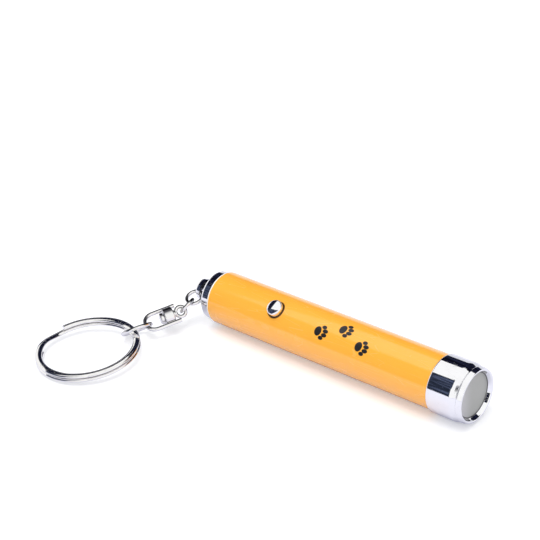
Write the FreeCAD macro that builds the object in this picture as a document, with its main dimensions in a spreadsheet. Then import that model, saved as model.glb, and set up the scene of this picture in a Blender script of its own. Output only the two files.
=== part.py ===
import FreeCAD, Part
import Sketcher
import math
import os

# Cat laser pointer: a barrel for three button cells with a projecting head,
# a side button, a screw-off tail cap and a short chain with a swivel and a key ring.
# Millimetres. +X points to the light exit, +Z is up, the origin lies on the barrel axis.
# Stations along the barrel are counted from the tail end of the tube.

os.makedirs("parts", exist_ok=True)
DOC = FreeCAD.newDocument("laser_pointer")
SHEET = DOC.addObject("Spreadsheet::Sheet", "Sizes")
VECTOR = FreeCAD.Vector

SIZES = {
    # Tube
    "tube_wall": 0.7,
    "tube_length": 69.8,
    "tube_edge_round": 0.3,
    "joint_round": 0.2,
    "tail_bore_step": 0.25,
    "tail_bore_depth": 5.2,
    "grip_from_tail": 48.0,
    # Clearances between pieces
    "insert_clearance": 0.05,
    "running_clearance": 0.05,
    "end_clearance": 0.1,
    "cell_clearance": 0.5,
    # Head sleeve and bezel
    "head_straight": 6.8,
    "head_length": 8.1,
    "head_step": 0.4,
    "head_front_step": 0.25,
    "head_blend": 3.0,
    "head_spigot_wall": 0.65,
    "head_spigot_length": 5.8,
    "bezel_socket_wall": 0.25,
    "bezel_socket_depth": 1.1,
    "bezel_neck_step": 0.4,
    "bezel_neck_length": 0.4,
    "bezel_bead_step": 0.05,
    "bezel_bead_length": 1.3,
    "bezel_lip": 0.35,
    "bezel_outer_round": 0.15,
    "bezel_slope": 0.95,
    "bezel_rear_round": 0.3,
    # Lens and its seal
    "lens_rim": 0.9,
    "lens_thickness": 1.96,
    "lens_inset": 1.1,
    "lens_edge_round": 0.15,
    "lens_seal_section": 0.3,
    # Optic tube, film and lamp
    "optic_flange_length": 6.0,
    "optic_front_gap": 0.24,
    "optic_wall": 0.65,
    "film_radius": 4.0,
    "film_thickness": 0.25,
    "film_station": 9.0,
    "film_window_radius": 3.4,
    "film_socket_depth": 0.4,
    "lamp_radius": 2.5,
    "lamp_flange_radius": 2.9,
    "lamp_flange_thickness": 1.0,
    "lamp_length": 8.6,
    "lamp_leg_radius": 0.25,
    "lamp_leg_spacing": 2.54,
    "lamp_leg_length": 5.0,
    # Cells and contacts
    "cell_radius": 5.8,
    "cell_length": 5.4,
    "cell_cap_radius": 4.6,
    "cell_cap_height": 0.4,
    "cell_edge_round": 0.4,
    "cell_count": 3,
    "cell_station": 1.9,
    "contact_radius": 4.0,
    "contact_thickness": 0.3,
    "contact_tab_width": 2.0,
    "contact_tab_length": 3.2,
    # Cradle, board and resistor
    "cradle_wall": 1.3,
    "cradle_end_wall": 0.8,
    "board_thickness": 1.0,
    "board_side_gap": 0.175,
    "board_end_gap": 0.05,
    "resistor_length": 3.2,
    "resistor_width": 1.6,
    "resistor_height": 0.6,
    "resistor_terminal": 0.5,
    "resistor_rise": 0.08,
    "resistor_station": 34.0,
    # Button and switch
    "button_station": 21.5,
    "button_lean": 35.0,
    "button_radius": 2.1,
    "button_gap": 0.1,
    "button_rise": 1.5,
    "button_round": 0.8,
    "button_lip": 0.5,
    "button_lip_thickness": 0.6,
    "button_lip_clearance": 0.12,
    "button_travel": 0.4,
    "switch_side": 4.5,
    "switch_height": 3.5,
    "plunger_radius": 1.5,
    "plunger_tail": 0.8,
    # Tail cap
    "cap_spigot_length": 4.5,
    "cap_spigot_wall": 0.55,
    "cap_collar_step": 0.35,
    "cap_collar_taper": 0.15,
    "cap_collar_length": 3.1,
    "cap_collar_round": 0.55,
    "cap_recess_wall": 0.95,
    "cap_recess_depth": 1.5,
    "cap_recess_edge": 0.3,
    "boss_radius": 3.0,
    "boss_end": 8.4,
    "boss_end_round": 0.8,
    "boss_disc_thickness": 1.7,
    "boss_slot_width": 2.2,
    "boss_neck_offset": -0.6,
    "boss_hole_radius": 0.9,
    "boss_hole_offset": 1.6,
    "tail_seal_thickness": 0.4,
    "tail_seal_step": 0.22,
    "tail_seal_round": 0.1,
    # Battery spring
    "spring_wire_radius": 0.25,
    "spring_side_gap": 0.25,
    "spring_taper": 2.3,
    "spring_turns": 3,
    # Two chain rings
    "link_radius": 2.25,
    "link_wire_radius": 0.5,
    "link_slack": 0.3,
    "link_yaw": 3.7,
    "link_cross_turn": 43.7,
    "ring_cut_angle": 2.0,
    # Swivel
    "eye_radius": 1.35,
    "eye_wire_radius": 0.5,
    "eye_gap": 0.2,
    "swivel_yaw": 26.3,
    "swivel_drop": 7.2,
    "swivel_roll": 18.0,
    "hub_station": 2.35,
    "hub_length": 2.6,
    "hub_radius": 2.35,
    "shank_radius": 0.7,
    "shank_collar_radius": 1.05,
    "shank_collar_thickness": 0.45,
    "rivet_radius": 1.5,
    "rivet_height": 1.0,
    "rivet_round": 0.5,
    "bail_wire_radius": 0.55,
    "bail_half_width": 2.75,
    "bail_length": 10.15,
    "bail_leg_reach": 1.35,
    # Jump ring
    "jump_radius": 3.9,
    "jump_wire_radius": 0.5,
    "jump_yaw": 19.5,
    "jump_roll": 38.0,
    "jump_gap": 0.2,
    "jump_hook_angle": 8.0,
    "jump_floor_gap": 0.02,
    # Split ring: two turns of flat wire joined by one crossing
    "key_radius": 13.7,
    "key_wire_width": 1.9,
    "key_wire_thickness": 0.865,
    "key_turn_gap": 0.42,
    "key_wire_chamfer": 0.22,
    "key_crossing_angle": 40.0,
    "key_end_angle": 4.0,
    "key_lift": 4.0,
    "key_hook_clearance": 0.52,
    "key_turned": 120.0,
}


class Size:
    """A number together with the sheet expression that gives it."""

    def __init__(self, number, text):
        self.number = number
        self.text = text

    def combine(self, other, sign, number):
        return Size(number, f"({self.text} {sign} {as_size(other).text})")

    def __add__(self, other):
        return self.combine(other, "+", self.number + as_size(other).number)

    def __radd__(self, other):
        return as_size(other) + self

    def __sub__(self, other):
        return self.combine(other, "-", self.number - as_size(other).number)

    def __rsub__(self, other):
        return as_size(other) - self

    def __mul__(self, other):
        return self.combine(other, "*", self.number * as_size(other).number)

    def __rmul__(self, other):
        return as_size(other) * self

    def __truediv__(self, other):
        return self.combine(other, "/", self.number / as_size(other).number)

    def __neg__(self):
        return 0 - self


class Sheet:
    """The named sizes, each readable as an attribute."""

    def __init__(self, values):
        for row, (name, number) in enumerate(values.items(), 1):
            SHEET.set(f"A{row}", name)
            SHEET.set(f"B{row}", str(number))
            SHEET.setAlias(f"B{row}", name)
            setattr(self, name, Size(number, f"{SHEET.Name}.{name}"))
        DOC.recompute()


def as_size(value):
    return value if isinstance(value, Size) else Size(value, str(value))


def root(size):
    return Size(math.sqrt(size.number), f"sqrt({size.text})")


S = Sheet(SIZES)

# Sizes that follow from the named ones
BORE = S.cell_radius + S.cell_clearance
TUBE_RADIUS = BORE + S.tube_wall
TAIL_BORE = BORE + S.tail_bore_step
INSERT = BORE - S.insert_clearance
CELL_END = S.cell_station + S.cell_count * S.cell_length
CRADLE_START = CELL_END + S.contact_thickness
OPTIC_END = S.tube_length - S.head_spigot_length
OPTIC_START = OPTIC_END - S.optic_flange_length
HEAD_FRONT = S.tube_length + S.head_length
BEZEL_FRONT = HEAD_FRONT + S.bezel_neck_length + S.bezel_bead_length
LENS_FRONT = BEZEL_FRONT - S.lens_inset
LENS_REAR = LENS_FRONT - S.lens_thickness
SEAL_SHOULDER = LENS_REAR - 2 * S.lens_seal_section
LENS_RADIUS = TUBE_RADIUS - S.lens_rim
LENS_BORE = LENS_RADIUS + S.insert_clearance
LENS_SEAL_RADIUS = LENS_RADIUS - S.lens_seal_section
HEAD_BORE = INSERT - S.head_spigot_wall
HEAD_RADIUS = TUBE_RADIUS + S.head_step
HEAD_FRONT_RADIUS = TUBE_RADIUS - S.head_front_step
BEZEL_SOCKET = HEAD_FRONT_RADIUS - S.bezel_socket_wall
BEZEL_NECK = TUBE_RADIUS - S.bezel_neck_step
BEZEL_BEAD = TUBE_RADIUS - S.bezel_bead_step
BEZEL_MOUTH = LENS_RADIUS - S.bezel_lip
OPTIC_RADIUS = HEAD_BORE - S.insert_clearance
OPTIC_FRONT = SEAL_SHOULDER - S.optic_front_gap
LAMP_BORE = S.lamp_radius + S.insert_clearance
FILM_FACE = OPTIC_START + S.film_station
BOARD_TOP = -S.lamp_leg_radius
BOARD_UNDERSIDE = BOARD_TOP - S.board_thickness
BOARD_HALF_WIDTH = root(BORE * BORE - BOARD_UNDERSIDE * BOARD_UNDERSIDE) - S.board_side_gap
BOARD_START = CRADLE_START + S.cradle_end_wall + S.board_end_gap
BOARD_END = OPTIC_START - S.cradle_end_wall - S.board_end_gap
LIP_RADIUS = S.button_radius + S.button_lip
LIP_TOP = root(BORE * BORE - LIP_RADIUS * LIP_RADIUS) - S.button_lip_clearance
LIP_UNDERSIDE = LIP_TOP - S.button_lip_thickness
SWITCH_TOP = BOARD_TOP + S.switch_height
CAP_SPIGOT = TAIL_BORE - S.running_clearance
CAP_BORE = CAP_SPIGOT - S.cap_spigot_wall
COLLAR_RADIUS = TUBE_RADIUS - S.cap_collar_step
COLLAR_REAR_RADIUS = COLLAR_RADIUS - S.cap_collar_taper
RECESS_RADIUS = CAP_BORE - S.cap_recess_wall
SPRING_RADIUS = RECESS_RADIUS - S.spring_wire_radius - S.spring_side_gap
TAIL_SEAL_RADIUS = TUBE_RADIUS - S.tail_seal_step
BOSS_DISC_INNER = S.boss_disc_thickness - S.boss_end
KEY_MIDDLE = S.key_radius - S.key_wire_width / 2
KEY_PITCH = S.key_wire_thickness + S.key_turn_gap
KEY_HALF = S.key_wire_thickness + S.key_turn_gap / 2


# Helpers for bodies, sketches and features


def new_body(name):
    body = DOC.addObject("PartDesign::Body", name)
    body.Label = name
    return body


def bind(thing, name, size):
    thing.setExpression(name, as_size(size).text)


def sketch_on(body, role, lift=0):
    sketch = body.newObject("Sketcher::SketchObject", body.Name + "_sketch")
    planes = [plane for plane in body.Origin.OriginFeatures if plane.Role == role]
    sketch.AttachmentSupport = (planes[0], [""])
    sketch.MapMode = "FlatFace"
    bind(sketch, "AttachmentOffset.Base.z", lift)
    return sketch


def dimension(sketch, kind, ends, size):
    index = sketch.addConstraint(Sketcher.Constraint(kind, *ends, as_size(size).number))
    bind(sketch, f"Constraints[{index}]", size)


def fix_point(sketch, edge, end, point):
    dimension(sketch, "DistanceX", (-1, 1, edge, end), point[0])
    dimension(sketch, "DistanceY", (-1, 1, edge, end), point[1])


def vector_of(point):
    return VECTOR(as_size(point[0]).number, as_size(point[1]).number, 0)


def polygon(sketch, points):
    """Closed outline through the points, each held by its two distances."""
    count = len(points)
    for index in range(count):
        start = vector_of(points[index])
        end = vector_of(points[(index + 1) % count])
        sketch.addGeometry(Part.LineSegment(start, end))
    for index in range(count):
        sketch.addConstraint(Sketcher.Constraint("Coincident", index, 2, (index + 1) % count, 1))
        fix_point(sketch, index, 1, points[index])
    return sketch


def circle(sketch, centre, radius):
    shape = Part.Circle(vector_of(centre), VECTOR(0, 0, 1), as_size(radius).number)
    edge = sketch.addGeometry(shape)
    fix_point(sketch, edge, 3, centre)
    dimension(sketch, "Radius", (edge,), radius)
    return sketch


def rectangle(sketch, low, high):
    return polygon(sketch, [low, (high[0], low[1]), high, (low[0], high[1])])


def revolve(body, sketch, axis="H_Axis", angle=360):
    feature = body.newObject("PartDesign::Revolution", body.Name + "_turned")
    feature.Profile = sketch
    feature.ReferenceAxis = (sketch, [axis])
    bind(feature, "Angle", angle)
    DOC.recompute()
    return feature


def extrude(body, sketch, length, along=True, cut=False, both=False):
    kind = "PartDesign::Pocket" if cut else "PartDesign::Pad"
    before = body.Shape.Volume if cut else 0
    feature = body.newObject(kind, body.Name + ("_cut" if cut else "_pad"))
    feature.Profile = sketch
    feature.SideType = "Symmetric" if both else "One side"
    feature.Reversed = (along == cut) and not both
    bind(feature, "Length", length)
    DOC.recompute()
    if cut and body.Shape.Volume > before - 1e-4:
        raise ValueError(f"{feature.Name} removes nothing")
    return feature


def round_circles(body, radius, *circles):
    """Fillet the circular edges that have the given station along X and radius."""
    tip = body.Tip
    wanted = [(as_size(station).number, as_size(size).number) for station, size in circles]
    names = []
    for index, edge in enumerate(tip.Shape.Edges, 1):
        if not isinstance(edge.Curve, Part.Circle):
            continue
        found = (edge.Curve.Center.x, edge.Curve.Radius)
        if any(math.dist(found, pair) < 1e-3 for pair in wanted):
            names.append(f"Edge{index}")
    round_edges(body, radius, names)


def round_edges(body, radius, names):
    tip = body.Tip
    feature = body.newObject("PartDesign::Fillet", body.Name + "_round")
    feature.Base = (tip, names)
    bind(feature, "Radius", radius)
    DOC.recompute()


def along_barrel(body, station=0, leaning=True):
    """Place a body on the barrel axis, turned so that its Z points out of the button."""
    body.Placement = FreeCAD.Placement(VECTOR(), FreeCAD.Rotation(VECTOR(1, 0, 0), 1))
    bind(body, "Placement.Base.x", station - S.grip_from_tail)
    bind(body, "Placement.Rotation.Angle", S.button_lean if leaning else 0)
    return body


# Barrel


def barrel_tube():
    body = along_barrel(new_body("barrel_tube"))
    outline = [
        (0, TUBE_RADIUS),
        (S.tube_length, TUBE_RADIUS),
        (S.tube_length, BORE),
        (S.tail_bore_depth, BORE),
        (S.tail_bore_depth, TAIL_BORE),
        (0, TAIL_BORE),
    ]
    revolve(body, polygon(sketch_on(body, "XZ_Plane"), outline))
    round_circles(body, S.tube_edge_round, (0, TUBE_RADIUS))
    round_circles(body, S.joint_round, (S.tube_length, TUBE_RADIUS))
    hole = circle(sketch_on(body, "XY_Plane"), (S.button_station, 0), S.button_radius + S.button_gap)
    extrude(body, hole, TUBE_RADIUS, cut=True)
    return body


def head_cap():
    body = along_barrel(new_body("head_cap"))
    shoulder = S.tube_length + S.head_straight
    socket = HEAD_FRONT - S.bezel_socket_depth
    outline = [
        (OPTIC_END, HEAD_BORE),
        (OPTIC_END, INSERT),
        (S.tube_length, INSERT),
        (S.tube_length, HEAD_RADIUS),
        (shoulder, HEAD_RADIUS),
        (HEAD_FRONT, HEAD_FRONT_RADIUS),
        (HEAD_FRONT, BEZEL_SOCKET),
        (socket, BEZEL_SOCKET),
        (socket, LENS_BORE),
        (SEAL_SHOULDER, LENS_BORE),
        (SEAL_SHOULDER, HEAD_BORE),
    ]
    revolve(body, polygon(sketch_on(body, "XZ_Plane"), outline))
    round_circles(body, S.head_blend, (shoulder, HEAD_RADIUS))
    round_circles(body, S.joint_round, (S.tube_length, HEAD_RADIUS))
    return body


def lens_bezel():
    body = along_barrel(new_body("lens_bezel"))
    spigot_end = HEAD_FRONT - S.bezel_socket_depth + S.end_clearance
    neck_end = HEAD_FRONT + S.bezel_neck_length
    outline = [
        (spigot_end, LENS_BORE),
        (spigot_end, BEZEL_SOCKET - S.insert_clearance),
        (HEAD_FRONT, BEZEL_SOCKET - S.insert_clearance),
        (HEAD_FRONT, BEZEL_NECK),
        (neck_end, BEZEL_NECK),
        (neck_end, BEZEL_BEAD),
        (BEZEL_FRONT, BEZEL_BEAD),
        (BEZEL_FRONT, BEZEL_MOUTH + S.bezel_slope),
        (BEZEL_FRONT - S.bezel_slope, BEZEL_MOUTH),
        (LENS_FRONT, BEZEL_MOUTH),
        (LENS_FRONT, LENS_BORE),
    ]
    revolve(body, polygon(sketch_on(body, "XZ_Plane"), outline))
    round_circles(body, S.bezel_outer_round, (BEZEL_FRONT, BEZEL_BEAD))
    round_circles(body, S.bezel_rear_round, (neck_end, BEZEL_BEAD))
    return body


def lens():
    body = along_barrel(new_body("lens"))
    outline = [(LENS_REAR, 0), (LENS_REAR, LENS_RADIUS), (LENS_FRONT, LENS_RADIUS), (LENS_FRONT, 0)]
    revolve(body, polygon(sketch_on(body, "XZ_Plane"), outline))
    round_circles(body, S.lens_edge_round, (LENS_REAR, LENS_RADIUS), (LENS_FRONT, LENS_RADIUS))
    return body


def lens_o_ring():
    body = along_barrel(new_body("lens_o_ring"))
    centre = (SEAL_SHOULDER + S.lens_seal_section, LENS_SEAL_RADIUS)
    revolve(body, circle(sketch_on(body, "XZ_Plane"), centre, S.lens_seal_section))
    return body


def optic_tube():
    body = along_barrel(new_body("optic_tube"))
    inner = OPTIC_RADIUS - S.optic_wall
    film_front = FILM_FACE + S.film_socket_depth
    film_bore = S.film_radius + S.insert_clearance
    flange_bore = S.lamp_flange_radius + S.insert_clearance
    flange_end = OPTIC_START + S.lamp_flange_thickness
    outline = [
        (OPTIC_START, flange_bore),
        (OPTIC_START, INSERT),
        (OPTIC_END, INSERT),
        (OPTIC_END, OPTIC_RADIUS),
        (OPTIC_FRONT, OPTIC_RADIUS),
        (OPTIC_FRONT, inner),
        (film_front, inner),
        (film_front, film_bore),
        (FILM_FACE, film_bore),
        (FILM_FACE, S.film_window_radius),
        (OPTIC_END, LAMP_BORE),
        (flange_end, LAMP_BORE),
        (flange_end, flange_bore),
    ]
    revolve(body, polygon(sketch_on(body, "XZ_Plane"), outline))
    return body


def pattern_film():
    body = along_barrel(new_body("pattern_film"))
    front = FILM_FACE + S.film_thickness
    outline = [(FILM_FACE, 0), (FILM_FACE, S.film_radius), (front, S.film_radius), (front, 0)]
    revolve(body, polygon(sketch_on(body, "XZ_Plane"), outline))
    return body


def led_lamp():
    """Domed lamp with a flange and two round legs that reach back to the board."""
    body = along_barrel(new_body("led_lamp"))
    flange_end = OPTIC_START + S.lamp_flange_thickness
    nose = OPTIC_START + S.lamp_length
    outline = [
        (OPTIC_START, 0),
        (OPTIC_START, S.lamp_flange_radius),
        (flange_end, S.lamp_flange_radius),
        (flange_end, S.lamp_radius),
        (nose, S.lamp_radius),
        (nose, 0),
    ]
    revolve(body, polygon(sketch_on(body, "XZ_Plane"), outline))
    round_circles(body, S.lamp_radius - S.insert_clearance, (nose, S.lamp_radius))
    for side in (-1, 1):
        leg = circle(sketch_on(body, "YZ_Plane", OPTIC_START), (side * S.lamp_leg_spacing / 2, 0), S.lamp_leg_radius)
        extrude(body, leg, S.lamp_leg_length, along=False)
    return body


def board_carrier():
    """Cradle with a trough under the board, closed by a disc at each end."""
    body = along_barrel(new_body("board_carrier"))
    length = OPTIC_START - CRADLE_START
    trough_start = CRADLE_START + S.cradle_end_wall
    trough_end = OPTIC_START - S.cradle_end_wall
    extrude(body, circle(sketch_on(body, "YZ_Plane", CRADLE_START), (0, 0), INSERT), length)
    window = rectangle(sketch_on(body, "XY_Plane", BOARD_UNDERSIDE), (trough_start, -BORE), (trough_end, BORE))
    extrude(body, window, BORE - BOARD_UNDERSIDE, cut=True)
    notch = rectangle(sketch_on(body, "XY_Plane", SWITCH_TOP), (CRADLE_START, -BORE), (trough_start, BORE))
    extrude(body, notch, BORE - SWITCH_TOP, cut=True)
    trough = circle(sketch_on(body, "YZ_Plane", trough_start), (0, 0), INSERT - S.cradle_wall)
    extrude(body, trough, trough_end - trough_start, cut=True)
    for side in (-1, 1):
        leg_hole = S.lamp_leg_radius + S.insert_clearance
        hole = circle(sketch_on(body, "YZ_Plane", trough_end), (side * S.lamp_leg_spacing / 2, 0), leg_hole)
        extrude(body, hole, S.cradle_end_wall, cut=True)
    half = S.contact_tab_width / 2 + S.insert_clearance
    low = BOARD_UNDERSIDE - S.contact_thickness - S.insert_clearance
    high = BOARD_UNDERSIDE + S.insert_clearance
    slot = rectangle(sketch_on(body, "YZ_Plane", CRADLE_START), (-half, low), (half, high))
    extrude(body, slot, S.cradle_end_wall, cut=True)
    return body


def circuit_board():
    body = along_barrel(new_body("circuit_board"))
    low = (BOARD_START, -BOARD_HALF_WIDTH)
    high = (BOARD_END, BOARD_HALF_WIDTH)
    outline = rectangle(sketch_on(body, "XY_Plane", BOARD_TOP), low, high)
    extrude(body, outline, S.board_thickness, along=False)
    return body


def resistor():
    """Chip resistor: a body between two slightly thicker terminals."""
    body = along_barrel(new_body("resistor"), S.resistor_station)
    half = S.resistor_length / 2
    side = S.resistor_width / 2
    extrude(body, rectangle(sketch_on(body, "XY_Plane", BOARD_TOP), (-half, -side), (half, side)), S.resistor_height)
    for start in (-half, half - S.resistor_terminal):
        low = (start, -side)
        high = (start + S.resistor_terminal, side)
        terminal = rectangle(sketch_on(body, "XY_Plane", BOARD_TOP), low, high)
        extrude(body, terminal, S.resistor_height + S.resistor_rise)
    return body


def front_contact():
    """Contact disc behind the cradle with a tab that runs along the underside of the board."""
    body = along_barrel(new_body("front_contact"))
    extrude(body, circle(sketch_on(body, "YZ_Plane", CELL_END), (0, 0), S.contact_radius), S.contact_thickness)
    half = S.contact_tab_width / 2
    low = (-half, BOARD_UNDERSIDE - S.contact_thickness)
    high = (half, BOARD_UNDERSIDE)
    extrude(body, rectangle(sketch_on(body, "YZ_Plane", CELL_END), low, high), S.contact_tab_length)
    return body


def battery_cell(index):
    body = along_barrel(new_body(f"battery_cell_{index + 1}"))
    start = S.cell_station + index * S.cell_length
    rim = start + S.cell_cap_height
    end = start + S.cell_length
    outline = [
        (start, 0),
        (start, S.cell_cap_radius),
        (rim, S.cell_cap_radius),
        (rim, S.cell_radius),
        (end, S.cell_radius),
        (end, 0),
    ]
    revolve(body, polygon(sketch_on(body, "XZ_Plane"), outline))
    round_circles(body, S.cell_edge_round, (rim, S.cell_radius), (end, S.cell_radius))
    return body


# Button and switch


def button_cap():
    body = along_barrel(new_body("button_cap"), S.button_station)
    top = TUBE_RADIUS + S.button_rise
    extrude(body, circle(sketch_on(body, "XY_Plane", LIP_UNDERSIDE), (0, 0), LIP_RADIUS), S.button_lip_thickness)
    stem = circle(sketch_on(body, "XY_Plane", LIP_UNDERSIDE), (0, 0), S.button_radius)
    extrude(body, stem, top - LIP_UNDERSIDE)
    edges = enumerate(body.Tip.Shape.Edges, 1)
    crown = [f"Edge{index}" for index, edge in edges if edge.BoundBox.ZMin > top.number - 1e-3]
    round_edges(body, S.button_round, crown)
    return body


def switch_body():
    body = along_barrel(new_body("switch_body"), S.button_station)
    half = S.switch_side / 2
    extrude(body, rectangle(sketch_on(body, "XY_Plane", BOARD_TOP), (-half, -half), (half, half)), S.switch_height)
    well = circle(sketch_on(body, "XY_Plane", SWITCH_TOP), (0, 0), S.plunger_radius + S.running_clearance)
    extrude(body, well, S.plunger_tail + S.button_travel + S.end_clearance, along=False, cut=True)
    return body


def switch_plunger():
    body = along_barrel(new_body("switch_plunger"), S.button_station)
    start = SWITCH_TOP - S.plunger_tail
    extrude(body, circle(sketch_on(body, "XY_Plane", start), (0, 0), S.plunger_radius), LIP_UNDERSIDE - start)
    return body


# Tail cap


def tail_o_ring():
    body = along_barrel(new_body("tail_o_ring"), leaning=False)
    outline = [
        (-S.tail_seal_thickness, CAP_SPIGOT + S.insert_clearance),
        (-S.tail_seal_thickness, TAIL_SEAL_RADIUS),
        (0, TAIL_SEAL_RADIUS),
        (0, CAP_SPIGOT + S.insert_clearance),
    ]
    revolve(body, polygon(sketch_on(body, "XZ_Plane"), outline))
    round_circles(body, S.tail_seal_round, (-S.tail_seal_thickness, TAIL_SEAL_RADIUS), (0, TAIL_SEAL_RADIUS))
    return body


def tail_cap():
    """Collar with a hollow spigot and a boss that is slotted and drilled for the chain."""
    body = along_barrel(new_body("tail_cap"), leaning=False)
    outline = [
        (S.cap_spigot_length, CAP_BORE),
        (S.cap_spigot_length, CAP_SPIGOT),
        (-S.tail_seal_thickness, CAP_SPIGOT),
        (-S.tail_seal_thickness, COLLAR_RADIUS),
        (-S.cap_collar_length, COLLAR_REAR_RADIUS),
        (-S.cap_collar_length, S.boss_radius),
        (-S.boss_end, S.boss_radius),
        (-S.boss_end, 0),
        (-S.cap_recess_depth, 0),
        (-S.cap_recess_depth, RECESS_RADIUS),
        (S.cap_recess_edge, RECESS_RADIUS),
        (S.cap_recess_edge, CAP_BORE),
    ]
    revolve(body, polygon(sketch_on(body, "XZ_Plane"), outline))
    round_circles(body, S.cap_collar_round, (-S.cap_collar_length, COLLAR_REAR_RADIUS))
    round_circles(body, S.boss_end_round, (-S.boss_end, S.boss_radius))
    low = (BOSS_DISC_INNER, -2 * S.boss_radius)
    high = (BOSS_DISC_INNER + S.boss_slot_width, S.boss_neck_offset)
    extrude(body, rectangle(sketch_on(body, "XY_Plane"), low, high), 4 * S.boss_radius, cut=True, both=True)
    hole = circle(sketch_on(body, "YZ_Plane", BOSS_DISC_INNER), (-S.boss_hole_offset, 0), S.boss_hole_radius)
    extrude(body, hole, S.boss_disc_thickness, along=False, cut=True)
    return body


def arc_between(start, direction, end):
    """Arc that leaves the start along the direction and meets the end."""
    chord = end - start
    along = VECTOR(chord).normalize()
    aside = direction - along * direction.dot(along)
    bend = direction.getAngle(along)
    middle = (start + end) * 0.5 + aside.normalize() * (chord.Length / 2 * math.tan(bend / 2))
    return Part.Arc(start, middle, end).toShape()


def biarc(start, start_way, end, end_way):
    """Two arcs that join two points with given directions without a kink."""
    span = end - start
    ways = start_way + end_way
    spread = 2 * (1 - start_way.dot(end_way))
    push = span.dot(ways)
    reach = (math.sqrt(push * push + spread * span.dot(span)) - push) / spread
    joint = (start + end + (start_way - end_way) * reach) * 0.5
    back = arc_between(end, -end_way, joint)
    return [arc_between(start, start_way, joint), Part.Arc(joint, back.valueAt(middle_of(back)), end).toShape()]


def middle_of(edge):
    return (edge.FirstParameter + edge.LastParameter) / 2


def battery_spring():
    """Conical coil on quarter-turn biarcs, wide at the cap and narrow at the cell."""
    wire = S.spring_wire_radius.number
    start = wire - S.cap_recess_depth.number
    rise = S.cell_station.number - wire - start
    wide = SPRING_RADIUS.number
    shrink = -S.spring_taper.number
    turns = round(S.spring_turns.number)

    def point(part):
        turn = math.tau * turns * part
        radius = wide + shrink * part
        return VECTOR(start + rise * part, radius * math.cos(turn), radius * math.sin(turn))

    def way(part):
        turn = math.tau * turns * part
        radius = wide + shrink * part
        sweep = math.tau * turns * radius
        return VECTOR(
            rise,
            shrink * math.cos(turn) - sweep * math.sin(turn),
            shrink * math.sin(turn) + sweep * math.cos(turn),
        ).normalize()

    quarters = 4 * turns
    edges = []
    for index in range(quarters):
        first = index / quarters
        last = (index + 1) / quarters
        edges += biarc(point(first), way(first), point(last), way(last))
    ring = Part.Wire(Part.Circle(point(0), way(0), wire).toShape())
    spring = DOC.addObject("Part::Feature", "battery_spring")
    spring.Label = "battery_spring"
    spring.Shape = Part.Wire(edges).makePipeShell([ring], True, False)
    print(f"battery_spring: least gap to itself {coil_gap(point, turns, 2 * wire):.2f} mm")
    spring.Placement = FreeCAD.Placement(VECTOR(-S.grip_from_tail.number, 0, 0), FreeCAD.Rotation())
    return spring


def coil_gap(point, turns, wire):
    """Least distance between points at least half a turn apart, less the wire's width."""
    per_turn = 180
    steps = round(per_turn * turns)
    points = [point(index / steps) for index in range(steps + 1)]
    pairs = [(a, b) for a in range(steps + 1) for b in range(a + per_turn // 2, steps + 1)]
    return min((points[a] - points[b]).Length for a, b in pairs) - wire


# Chain: directions and places follow from the named sizes and angles


def heading(yaw, drop=0):
    """Direction that starts along -Y, yaws towards -X and then drops."""
    turn = math.radians(yaw)
    fall = math.radians(drop)
    return VECTOR(-math.sin(turn) * math.cos(fall), -math.cos(turn) * math.cos(fall), -math.sin(fall))


def across(direction, near):
    """The part of a vector that stands square on a direction."""
    return (near - direction * near.dot(direction)).normalize()


def turned(vector, axis, degrees):
    return FreeCAD.Rotation(axis, degrees).multVec(vector)


def frame(origin, forward, upward):
    """Placement with its X along one vector and its Z along another."""
    side = upward.cross(forward)
    return FreeCAD.Placement(origin, FreeCAD.Rotation(forward, side, upward, "ZXY"))


def bail_hook():
    """From the eye to the point of the bow's wire where the jump ring hangs."""
    bow_centre = SWIVEL_WAY * (S.bail_length.number - S.bail_half_width.number)
    way = turned(SWIVEL_WAY, SWIVEL_WAY.cross(BAIL_SIDE), S.jump_hook_angle.number)
    return bow_centre + way * S.bail_half_width.number


FLOOR = -TUBE_RADIUS.number
SWIVEL_WAY = heading(S.swivel_yaw.number, S.swivel_drop.number)
BAIL_SIDE = turned(heading(S.swivel_yaw.number - 90), SWIVEL_WAY, -S.swivel_roll.number)
JUMP_WAY = heading(S.jump_yaw.number)
JUMP_SIDE = turned(heading(S.jump_yaw.number - 90), JUMP_WAY, S.jump_roll.number)
JUMP_DEPTH = S.jump_radius.number * JUMP_SIDE.z + S.jump_wire_radius.number
HOOK = bail_hook()
# The two rings drop just so far that the jump ring lies on the floor
LINK_PAIR = 4 * S.link_radius.number - 2 * S.link_wire_radius.number - S.link_slack.number
LINK_DROP = math.degrees(math.asin((HOOK.z - FLOOR - S.jump_floor_gap.number - JUMP_DEPTH) / LINK_PAIR))
LINK_WAY = heading(S.link_yaw.number, LINK_DROP)
LINK_SIDE = across(LINK_WAY, VECTOR(1, 0, 0))
CROSS_SIDE = turned(LINK_WAY.cross(LINK_SIDE), LINK_WAY, -S.link_cross_turn.number)
BOSS_HOLE_STATION = S.boss_disc_thickness.number / 2 - S.boss_end.number
LINK_ANCHOR = VECTOR(BOSS_HOLE_STATION - S.grip_from_tail.number, -S.boss_hole_offset.number, 0)
EYE_ANCHOR = LINK_ANCHOR + LINK_WAY * LINK_PAIR
EYE_NORMAL = across(SWIVEL_WAY, CROSS_SIDE)


def wire_ring(name, radius, wire, place):
    """Round wire bent to a ring, with a narrow cut where its ends meet."""
    body = new_body(name)
    body.Placement = place
    revolve(body, circle(sketch_on(body, "XZ_Plane"), (radius, 0), wire), "V_Axis", 360 - S.ring_cut_angle)
    return body


def chain_ring_1():
    centre = LINK_ANCHOR + LINK_WAY * S.link_radius.number
    place = frame(centre, LINK_SIDE, LINK_WAY.cross(LINK_SIDE))
    return wire_ring("chain_ring_1", S.link_radius, S.link_wire_radius, place)


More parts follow.
